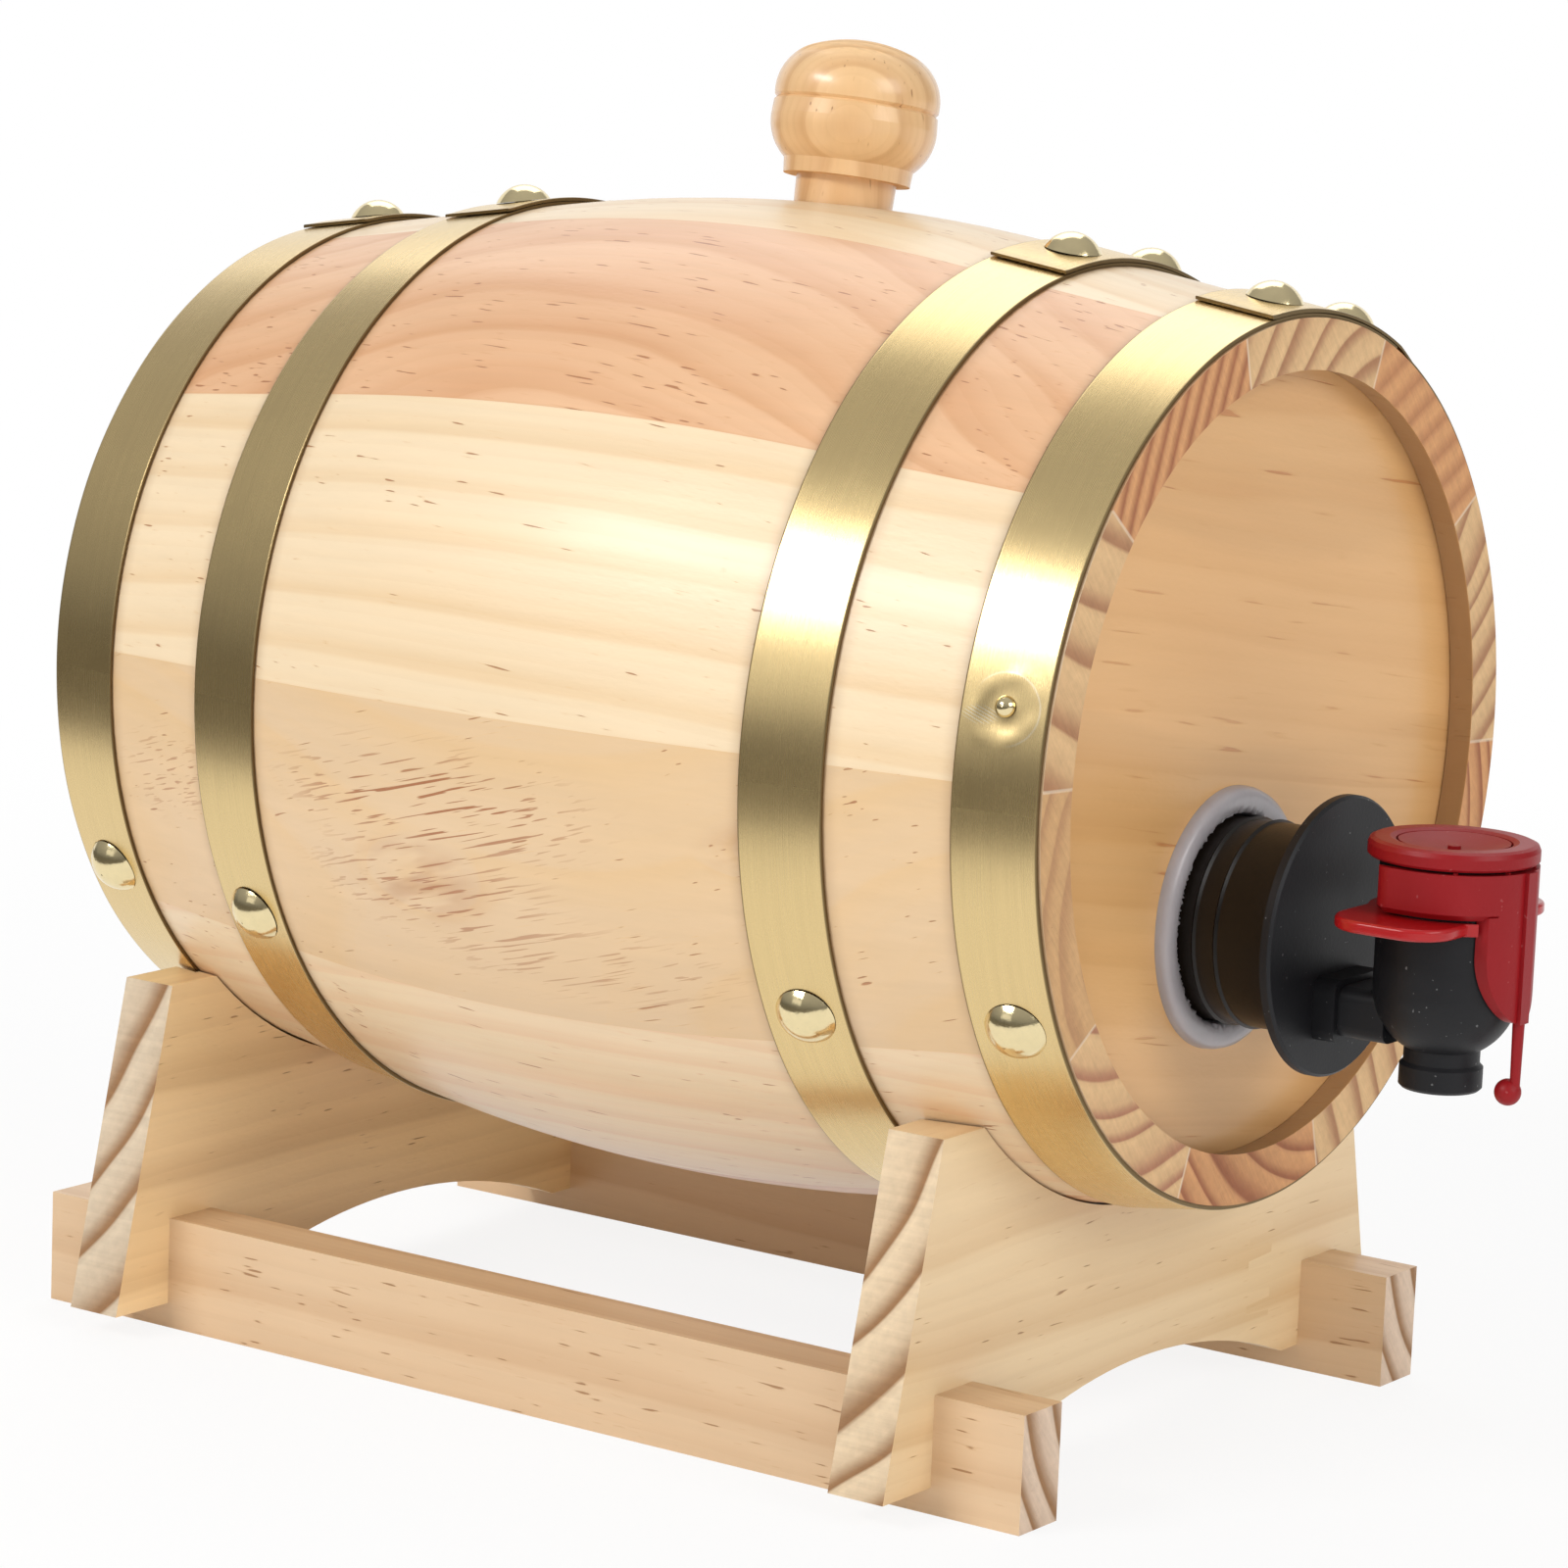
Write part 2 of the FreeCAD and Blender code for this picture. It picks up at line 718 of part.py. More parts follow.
def guard_arms():
    """The two straight arms of the collar as one block, its free corners rounded, its foot narrowed."""
    block = box(-guard_outer, guard_outer, 0, guard_arm, guard_base, guard_top)
    corners = []
    for edge in block.Edges:
        extent = edge.BoundBox
        if extent.YMin > guard_arm - 0.01 and extent.ZLength > guard_chamfer:
            corners.append(edge)
    block = block.makeFillet(guard_arm_rounding, corners)
    lower = []
    for edge in block.Edges:
        extent = edge.BoundBox
        if extent.ZMax < guard_base + 0.01 and extent.YMax > 0.01:
            lower.append(edge)
    return block.makeChamfer(guard_chamfer, lower)


def guard_collar():
    """A horseshoe round the housing, narrowed below and open behind so that it pulls off forwards."""
    height = guard_top - guard_base
    inner = housing_radius + guard_fit
    points = [
        (0, guard_base),
        (guard_outer - guard_chamfer, guard_base),
        (guard_outer, guard_base + guard_chamfer),
        (guard_outer, guard_top),
        (0, guard_top),
    ]
    shell = turned_about_z(points).fuse(guard_arms())
    shell = shell.cut(Part.makeCylinder(inner, height + 2, Vector(0, 0, guard_base - 1)))
    return shell.cut(box(-inner, inner, 0, guard_outer + 1, guard_base - 1, guard_top + 1))


def guard_shield():
    """The curved tongue in front of the housing, an oval rounding to its tip."""
    inner = housing_radius + guard_fit
    wall = Part.makeCylinder(guard_outer, guard_top - shield_end, Vector(0, 0, shield_end))
    wall = wall.cut(Part.makeCylinder(inner, guard_top - shield_end + 2, Vector(0, 0, shield_end - 1)))
    tongue = upright_oval().extrude(Vector(0, -guard_outer - 1, 0))
    upper = box(-shield_half_width, shield_half_width, -guard_outer - 1, 0, shield_centre, guard_base + 0.5)
    return wall.common(tongue.fuse(upper))


def upright_oval():
    """A flat oval that stands across Y with its long side up."""
    oval = Part.Ellipse(ORIGIN, shield_centre - shield_end, shield_half_width).toShape()
    face = Part.Face(Part.Wire([oval]))
    face.rotate(ORIGIN, Z_AXIS, 90)
    face.rotate(ORIGIN, X_AXIS, 90)
    face.translate(Vector(0, 0, shield_centre))
    return face


def guard_tail():
    """A flat rib down the front that ends in a thin tail with a drop at its tip."""
    front = -guard_outer - guard_rib_proud
    half = guard_rib_width / 2.0
    rib = box(-half, half, front, -guard_outer + 0.3, shield_end, guard_top)
    centre = Vector(0, front + tail_radius, drop_height)
    tail = Part.makeCone(tail_radius * 0.8, tail_radius, shield_end + 0.8 - drop_height, centre)
    drop = Part.makeSphere(drop_radius, Vector(0, front + drop_radius, drop_height))
    return rib.fuse(tail).fuse(drop)


def guard_bridges():
    """Small breakable pegs that stand from the collar towards the rim."""
    radius = guard_outer - guard_wall / 2.0
    pegs = []
    for index in range(bridge_count):
        angle = math.radians(-150.0 + index * 120.0 / (bridge_count - 1))
        x = radius * math.cos(angle)
        y = radius * math.sin(angle)
        half = bridge_size / 2.0
        pegs.append(box(x - half, x + half, y - half, y + half, guard_top - 0.2, guard_top + guard_gap * 0.6))
    return pegs


def tear_guard():
    solid = guard_collar().fuse(guard_shield()).fuse(guard_tail())
    for peg in guard_bridges():
        solid = solid.fuse(peg)
    return on_valve_axis(solid.removeSplitter())


def staves():
    """The ten staves in turn, holed where the bung and the nails go in."""
    blank = stave_blank()
    cutters = [bung_hole(), brad_hole()]
    for name, station, lap_angle in HOOPS:
        cutters = cutters + nail_holes(station)
    pieces = []
    for index in range(stave_count):
        stave = blank.copy()
        stave.rotate(ORIGIN, TURN, stave_joint_angle + index * stave_angle)
        for cutter in cutters:
            if stave.BoundBox.intersect(cutter.BoundBox):
                stave = stave.cut(cutter)
        pieces.append(stave)
    return pieces


def write(name, shape):
    solids = shape.Solids
    shape = solids[0] if len(solids) == 1 else Part.makeCompound(solids)
    shape.exportStep("parts/" + name + ".step")
    print(name, len(solids), shape.isValid(), round(shape.Volume, 1))


def cradle_pieces():
    front = board(-board_outer_face)
    fingers = finger_region()
    pieces = {
        "rail_left": rail(-1),
        "rail_right": rail(1),
        "board_front": front.cut(fingers),
        "board_front_end": front.common(fingers),
        "board_rear": board(board_outer_face),
    }
    return {name: moved(shape, 0, cradle_y, 0) for name, shape in pieces.items()}


def cask_pieces():
    pieces = {}
    for index, stave in enumerate(staves()):
        pieces["stave_%02d" % (index + 1)] = stave
    pieces["head_front"] = front_head()
    pieces["head_rear"] = head()
    rivets = []
    nails = []
    for name, station, lap_angle in HOOPS:
        band = hoop(station, lap_angle)
        if name == "hoop_front_end":
            band = band.cut(brad_hole())
        pieces[name] = band
        rivets = rivets + rivet_shapes(station, lap_angle)
        nails = nails + nail_shapes(station)
    pieces["hoop_rivets"] = Part.makeCompound(rivets)
    pieces["hoop_nails"] = Part.makeCompound(nails)
    pieces["hoop_brad"] = brad_shape()
    pieces["bung"] = bung()
    return {name: in_cask_place(shape) for name, shape in pieces.items()}


def tap_pieces():
    return {
        "gland": in_tap_place(gland(), gland_face),
        "tap_body": tap_body(),
        "finger_grip": finger_grip(),
        "button_rim": button_rim(),
        "button_pad": button_pad(),
        "valve_stem": valve_stem(),
        "valve_plug": valve_plug(),
        "tear_guard": tear_guard(),
    }


os.makedirs("parts", exist_ok=True)
for pieces in (cradle_pieces(), cask_pieces(), tap_pieces()):
    for name, shape in pieces.items():
        write(name, shape)
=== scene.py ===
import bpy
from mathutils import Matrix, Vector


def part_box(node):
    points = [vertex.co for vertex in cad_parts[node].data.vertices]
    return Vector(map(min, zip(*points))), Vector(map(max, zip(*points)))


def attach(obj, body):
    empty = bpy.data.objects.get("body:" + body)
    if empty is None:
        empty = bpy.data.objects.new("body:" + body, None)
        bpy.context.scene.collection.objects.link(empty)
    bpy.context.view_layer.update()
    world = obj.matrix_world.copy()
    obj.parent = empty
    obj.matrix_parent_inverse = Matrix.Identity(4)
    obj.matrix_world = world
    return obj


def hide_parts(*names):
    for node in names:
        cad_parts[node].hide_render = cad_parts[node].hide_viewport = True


bl_info = {
    "name": "Cask dispenser",
    "version": (1, 0, 0),
    "blender": (4, 5, 0),
    "location": "3D View > Sidebar > Cask",
    "description": "Dresses a table-top pine cask with brass hoops, a push tap and a cradle",
    "category": "Object",
}

import math
import random

import bmesh
import bpy
from bpy.props import FloatProperty, FloatVectorProperty, PointerProperty
from mathutils import Euler, Matrix, Vector

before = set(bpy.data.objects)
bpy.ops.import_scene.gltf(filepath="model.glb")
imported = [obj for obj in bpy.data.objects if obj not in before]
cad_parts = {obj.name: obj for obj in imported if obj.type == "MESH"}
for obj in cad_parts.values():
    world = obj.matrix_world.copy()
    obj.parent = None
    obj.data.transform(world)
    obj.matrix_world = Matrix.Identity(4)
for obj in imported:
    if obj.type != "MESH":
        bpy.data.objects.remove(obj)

MM = 0.001
FULL_TURN = 2 * math.pi


def span(node, axis):
    """Lowest and highest place of a node along one axis."""
    low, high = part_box(node)
    return low[axis], high[axis]


def midway(node, axis):
    """Middle of a node along one axis."""
    return sum(span(node, axis)) / 2


# Where the cask lies. Angles about its axis start at +X and rise towards +Z.
HOOPS = ("hoop_front_end", "hoop_front_bilge", "hoop_rear_bilge", "hoop_rear_end")
AXIS_Y = (span("hoop_front_end", 1)[0] + span("hoop_rear_end", 1)[1]) / 2
AXIS_Z = midway("head_front", 2)
CASK_ROLL = math.radians(9.5)
STAVE_WIDTH = math.radians(36)
FIRST_STAVE = math.radians(51)
HOOP_STATIONS = [abs(midway(hoop, 1) - AXIS_Y) for hoop in ("hoop_rear_bilge", "hoop_rear_end")]
HOOP_HALF = (span("hoop_rear_bilge", 1)[1] - span("hoop_rear_bilge", 1)[0]) / 2
HOOP_RADIUS = 64 * MM
TAP_X = midway("gland", 0)
TAP_Z = midway("gland", 2)
FLANGE_DEPTH = 28 * MM

# Cells across a strip and steps round it: with the dent, and plain.
DENTED_STRIP = (18, 600)
PLAIN_STRIP = (6, 420)
STRIP_CREASE = math.radians(35)
RING_CREASE = math.radians(50)
RING_SIDES = 360
TORN_POINTS = (7, 8, 9)

# How deep the fine relief of each surface goes.
WOOD_RELIEF = 0.07 * MM
STRIP_RELIEF = 0.02 * MM
DOME_RELIEF = 0.03 * MM
GLAND_RELIEF = 0.12 * MM
PLASTIC_RELIEF = 0.04 * MM

# Weight of the varnish on each kind of wood.
CASK_GLOSS = 0.3
BUNG_GLOSS = 0.9
CRADLE_GLOSS = 0.12

# Ramps of a growth ring, from one early wood to the next: place and darkness.
RING_STOPS = [(0.0, 0.16), (0.12, 0.0), (0.55, 0.22), (0.86, 0.95), (0.94, 1.0), (1.0, 0.16)]
STRIPE_STOPS = [(0.0, 0.9), (0.25, 0.15), (0.5, 0.0), (0.8, 0.6), (1.0, 0.95)]

# Colours that belong to the work and not to one piece; among them are the painted shadow of the
# hoops and the painted light of the inner wall.
# Painted shadow: the colour in which the hoops' shade on the staves is painted.
HOOP_SHADOW = (0.30, 0.16, 0.07)
GLUE = (0.80, 0.68, 0.52)
# Painted light: the colour that lightens the staves' inner wall, standing in for light that does
# not reach it.
PAINTED_LIGHT_INNER_WALL = (0.84, 0.53, 0.24)
SCRATCH = (0.98, 0.92, 0.78)

# How much a tone is turned down on a sawn end: red, green, blue.
STAVE_END_LIGHT = (0.82, 0.68, 0.52)
STAVE_END_DARK = (0.52, 0.38, 0.37)
BOARD_END = (0.92, 0.95, 1.05)
RAIL_END = (1.0, 1.08, 1.32)
# Painted light: how much the rear board's faces are lightened, standing in for light that does
# not reach them: red, green, blue.
REAR_BOARD_PAINTED_LIGHT = (1.14, 1.10, 1.02)

# Brightness of the room from straight below, through the skirting, to straight above.
ROOM_STOPS = [(0.0, 0.14), (0.495, 0.12), (0.51, 0.18), (0.58, 0.30), (0.70, 0.38), (1.0, 0.52)]
FLOOR_REACH = 5.0
FLOOR_GLOW = 0.86
BACKDROP_GLOW = 1.0
FAR_OFF = (0.22, 0.60)
SHEET_CUTS = 8
CARD_HEIGHT = 4 * MM
CARD_CORNERS = ((-3.0, -5.0), (-0.31, 0.05), (2.4, 5.0), (-5.0, 5.0))
BACKDROP_CORNERS = ((3.0, -0.6, -0.5), (0.2, 2.6, -0.5), (0.2, 2.6, 1.4), (3.0, -0.6, 1.4))
AIM = (0.0, 0.0, 0.09)
LOW_AIM = (0.0, 0.0, 0.03)
# Name, place, aim, width, height and watts.
SOFT_BOXES = (
    ("soft_box_left", (-0.96, 0.40, 0.81), AIM, 0.60, 0.20, 7.0),
    ("soft_box_front", (-0.2, -1.5, 0.9), AIM, 1.0, 0.8, 9.5),
    ("soft_box_top", (0.80, 0.62, 1.36), AIM, 1.2, 1.0, 6.8),
    ("soft_box_side", (-1.05, 0.33, 0.37), AIM, 0.55, 0.26, 0.24),
    ("soft_box_low", (-0.9, -0.8, 0.18), LOW_AIM, 0.7, 0.25, 2.6),
)


def colour(name, text, value):
    """A colour that a user may change."""
    return FloatVectorProperty(
        name=name, description=text, subtype="COLOR", size=3, min=0.0, max=1.0, default=value
    )


def length(name, text, value):
    """A length that a user may change."""
    return FloatProperty(name=name, description=text, unit="LENGTH", default=value, precision=5)


def turn(name, text, degrees):
    """An angle that a user may change."""
    return FloatProperty(
        name=name, description=text, unit="ROTATION", default=math.radians(degrees)
    )


def share(name, text, value, most=1.0):
    """A plain amount that a user may change."""
    return FloatProperty(name=name, description=text, default=value, min=0.0, max=most)


class StageSettings(bpy.types.PropertyGroup):
    """Camera, lamps and floor."""

    camera_place: FloatVectorProperty(
        name="Camera place", description="Where the camera stands", unit="LENGTH", size=3,
        default=(-0.657956, -0.443329, 0.222496),
    )
    azimuth: turn("Azimuth", "Turn of the view about the upright axis", -55.053)
    elevation: turn("Elevation", "How far the view looks down", 9.685)
    roll: turn("Roll", "Tilt of the picture", 2.307)
    lens: FloatProperty(
        name="Lens", description="Focal length in millimetres on a 36 mm wide sensor",
        default=126.55,
    )
    lamp_level: share("Lamp level", "Strength of all the lamps together", 1.0, 4.0)
    floor_colour: colour("Floor", "Colour of the floor and backdrop", (0.9, 0.9, 0.9))


class StaveSettings(bpy.types.PropertyGroup):
    """Wood of the staves."""

    pale: colour("Pale pine", "Early wood of the pale staves", (0.87, 0.69, 0.46))
    honey: colour("Honey pine", "Late wood of the pale staves", (0.76, 0.51, 0.26))
    rosy: colour("Rosy pine", "Early wood of the pinkish staves", (0.80, 0.49, 0.28))
    russet: colour("Russet pine", "Late wood of the pinkish staves", (0.64, 0.31, 0.14))
    tan: colour("Tan pine", "Early wood of the knotty stave", (0.75, 0.54, 0.33))
    fleck: colour("Fleck", "Resin flecks", (0.38, 0.14, 0.05))
    ring_width: length("Ring width", "Width of one year's growth", 0.0042)


class HeadSettings(bpy.types.PropertyGroup):
    """Wood of the two heads and the bung."""

    light: colour("Light", "Early wood of the heads", (0.71, 0.41, 0.17))
    dark: colour("Dark", "Late wood of the heads", (0.57, 0.28, 0.085))
    dash: colour("Dash", "Soft dashes in the heads", (0.50, 0.20, 0.06))
    bung_light: colour("Bung light", "Early wood of the bung", (0.86, 0.56, 0.28))
    bung_dark: colour("Bung dark", "Late wood of the bung", (0.62, 0.33, 0.13))
    bung_fleck: colour("Bung fleck", "Resin flecks of the bung", (0.35, 0.16, 0.06))


class CradleSettings(bpy.types.PropertyGroup):
    """Wood of the cradle."""

    light: colour("Light", "Early wood of the boards", (0.83, 0.63, 0.38))
    dark: colour("Dark", "Late wood of the boards", (0.66, 0.43, 0.21))
    fleck: colour("Fleck", "Resin flecks of the boards", (0.32, 0.15, 0.05))
    rail_light: colour("Rail light", "Early wood of the rails", (0.74, 0.53, 0.33))
    rail_dark: colour("Rail dark", "Late wood of the rails", (0.58, 0.35, 0.18))
    rail_fleck: colour("Rail fleck", "Resin flecks of the rails", (0.34, 0.16, 0.06))
    end_mark: colour("End mark", "Growth marks on sawn ends", (0.30, 0.15, 0.06))


class BrassSettings(bpy.types.PropertyGroup):
    """Brass of the hoops and their fasteners."""

    hoop: colour("Hoop", "Brushed brass", (0.78, 0.59, 0.29))
    dome: colour("Dome", "Polished brass", (0.86, 0.72, 0.42))
    # Painted shade: the colour that darkens the strips' edges and sides.
    edge: colour("Edge", "Darkened edge of a strip", (0.14, 0.09, 0.04))
    brushing: share("Brushing", "Depth of the brush lines", 0.35)
    dent: length("Dent", "Depth of the dent round the brad", 0.00026)
    strip_thickness: length("Strip thickness", "Thickness of a hoop", 0.0005)
    lap_gap: length("Lap gap", "Room between the layers of a lap", 0.00005)
    cone_angle: turn("Cone angle", "Slope of the cask under the hoops", 8.4)
    lap_reach: turn("Lap reach", "How far a hoop laps over itself", 38)
    lap_joggle: turn("Lap joggle", "Stretch over which the lap steps up", 4)
    end_lap: turn("End lap", "Where the free ends of the end hoops stop", 98)
    bilge_lap: turn("Bilge lap", "Where the free ends of the bilge hoops stop", 101)


class TapSettings(bpy.types.PropertyGroup):
    """Plastics of the tap."""

    black: colour("Black", "Satin black plastic", (0.0085, 0.0085, 0.010))
    neck: colour("Neck", "Shiny brown-black plastic", (0.009, 0.006, 0.004))
    milky: colour("Milky", "Gland ring", (0.40, 0.37, 0.38))
    red: colour("Red", "Button and guard", (0.27, 0.005, 0.008))
    bright_red: colour("Bright red", "Finger grip", (0.38, 0.006, 0.008))
    grey_dust: colour("Grey dust", "Dust on black plastic", (0.5, 0.5, 0.5))
    pink_dust: colour("Pink dust", "Dust on red plastic", (0.8, 0.4, 0.4))
    dust: share("Dust", "Share of dust specks that show", 0.22)


class Level:
    """A number that changes over a surface. Sums on it become Math nodes."""

    def __init__(self, nodes, socket):
        self.nodes = nodes
        self.socket = socket

    def sum(self, operation, *terms):
        values = dict(enumerate(terms))
        return self.nodes.node("ShaderNodeMath", {"operation": operation}, values)

    def __add__(self, other):
        return self.sum("ADD", self, other)

    def __radd__(self, other):
        return self.sum("ADD", other, self)

    def __sub__(self, other):
        return self.sum("SUBTRACT", self, other)

    def __rsub__(self, other):
        return self.sum("SUBTRACT", other, self)

    def __mul__(self, other):
        return self.sum("MULTIPLY", self, other)

    def __rmul__(self, other):
        return self.sum("MULTIPLY", other, self)

    def __truediv__(self, other):
        return self.sum("DIVIDE", self, other)

    def __rtruediv__(self, other):
        return self.sum("DIVIDE", other, self)

    def __pow__(self, other):
        return self.sum("POWER", self, other)

    def __rpow__(self, other):
        return self.sum("POWER", other, self)

    def __abs__(self):
        return self.sum("ABSOLUTE", self)

    def root(self):
        return self ** 0.5

    def least(self, other):
        return self.sum("MINIMUM", self, other)

    def most(self, other):
        return self.sum("MAXIMUM", self, other)

    def part(self):
        """What is left of the number above its whole part."""
        return self.sum("FRACT", self)

    def rise(self, start, end):
        """0 before start, 1 after end, smooth between; start may lie after end."""
        low, high = min(start, end), max(start, end)
        values = {"Value": self, "From Min": low, "From Max": high}
        values["To Min"], values["To Max"] = (0.0, 1.0) if start < end else (1.0, 0.0)
        settings = {"interpolation_type": "SMOOTHSTEP"}
        return self.nodes.node("ShaderNodeMapRange", settings, values)


class Nodes:
    """The nodes of one material or of the room."""

    def __init__(self, tree):
        self.tree = tree
        self.tree.nodes.clear()

    def fill(self, socket, value):
        """Gives a socket a link or a plain value."""
        if isinstance(value, Level):
            self.tree.links.new(value.socket, socket)
        elif socket.type == "RGBA" and len(value) == 3:
            socket.default_value = (*value, 1.0)
        else:
            socket.default_value = value

    def node(self, kind, settings=None, values=None, out=0):
        """A node of a type: its settings, a ramp's stops among them, then its sockets.

        Gives the output that out names, a list for several, or the node itself for None.
        """
        made = self.tree.nodes.new(kind)
        for title, value in (settings or {}).items():
            if title == "stops":
                elements = made.color_ramp.elements
                for place, _ in value[2:]:
                    elements.new(place)
                for element, (place, tone) in zip(elements, value):
                    element.position = place
                    element.color = (tone, tone, tone, 1.0)
            else:
                setattr(made, title, value)
        for title, value in (values or {}).items():
            self.fill(made.inputs[title], value)
        if out is None:
            return made
        if isinstance(out, tuple):
            return [Level(self, made.outputs[name]) for name in out]
        return Level(self, made.outputs[out])

    def place(self):
        """Where a point of the surface is, in the object's own frame."""
        return self.node("ShaderNodeTexCoord", out="Object")

    def facing(self):
        """Which way the surface faces, in the object's own frame."""
        return self.node("ShaderNodeTexCoord", out="Normal")

    def split(self, vector):
        """The three numbers of a vector."""
        return self.node("ShaderNodeSeparateXYZ", {}, {0: vector}, out=("X", "Y", "Z"))

    def join(self, x, y, z):
        """A vector of three numbers."""
        return self.node("ShaderNodeCombineXYZ", {}, {0: x, 1: y, 2: z})

    def vector(self, operation, first, second, out=0):
        """Vector maths."""
        values = {0: first, 1: second}
        return self.node("ShaderNodeVectorMath", {"operation": operation}, values, out)

    def dot(self, first, second):
        """How far two vectors agree."""
        return self.vector("DOT_PRODUCT", first, second, out="Value")

    def noise(self, place, waves, detail=2.0, roughness=0.5):
        """Soft noise, 0 to 1, with that many waves a metre along each axis."""
        scaled = self.vector("MULTIPLY", place, waves)
        values = {"Vector": scaled, "Scale": 1.0, "Detail": detail, "Roughness": roughness}
        return self.node("ShaderNodeTexNoise", {}, values)

    def blend(self, amount, under, over):
        """Two colours mixed."""
        settings = {"data_type": "RGBA", "blend_type": "MIX", "clamp_factor": True}
        return self.node("ShaderNodeMix", settings, {0: amount, 6: under, 7: over}, out=2)

    def shade(self, tone, amount):
        """A colour multiplied by a number."""
        return self.vector("MULTIPLY", tone, self.join(amount, amount, amount))


class Finish(Nodes):
    """One material, with its constants set on the shader itself."""

    def __init__(self, name, **constants):
        self.material = bpy.data.materials.new(name)
        self.material.use_nodes = True
        super().__init__(self.material.node_tree)
        self.shader = self.node("ShaderNodeBsdfPrincipled", out=None)
        self.surface = Level(self, self.shader.outputs[0])
        self.output = self.node("ShaderNodeOutputMaterial", {}, {0: self.surface}, out=None)
        for title, value in constants.items():
            self.set(title.replace("_", " ").title().replace("Ior", "IOR"), value)

    def set(self, title, value):
        """Gives one socket of the shader a link or a plain value."""
        self.fill(self.shader.inputs[title], value)

    def bump(self, height, distance):
        """Raises the surface by height times distance."""
        values = {"Height": height, "Distance": distance, "Strength": 1.0}
        self.set("Normal", self.node("ShaderNodeBump", {}, values))


def dress(finish, *nodes):
    """Gives a finish to every slot of some nodes."""
    for node in nodes:
        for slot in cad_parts[node].material_slots:
            slot.material = finish.material


def tinted(tone, parts):
    """A colour with its red, green and blue multiplied."""
    return tuple(channel * part for channel, part in zip(tone, parts))


class Grain:
    """How one board was cut. A place on it is across, along and through, in millimetres."""

    strength = 0.8  # contrast of the growth rings
    blush = 0.3  # how far clouds of late wood spread
    wander = 0.004  # how far the rings stray from true circles, in metres
    flecks = 0.5  # how many resin flecks
    fleck_length = 1.0  # against those of the staves
    fleck_width = 1.0
    lean = -0.08  # slope of the flecks against the board
    mottle = 0.0  # strength of paler patches
    end_strength = 1.0  # contrast of the rings on the sawn ends
    end_lines = None  # straight rings on the ends: their turn, and their pitch in metres
    knots = ()  # across, along, size, depth
    streaks = ()  # across, along, width, length, depth

    def __init__(self, origin, turn, pith, ring, seed, **more):
        self.origin = origin
        self.turn = turn
        self.pith = pith
        self.ring = ring
        self.seed = seed
        for title, value in more.items():
            setattr(self, title, value)


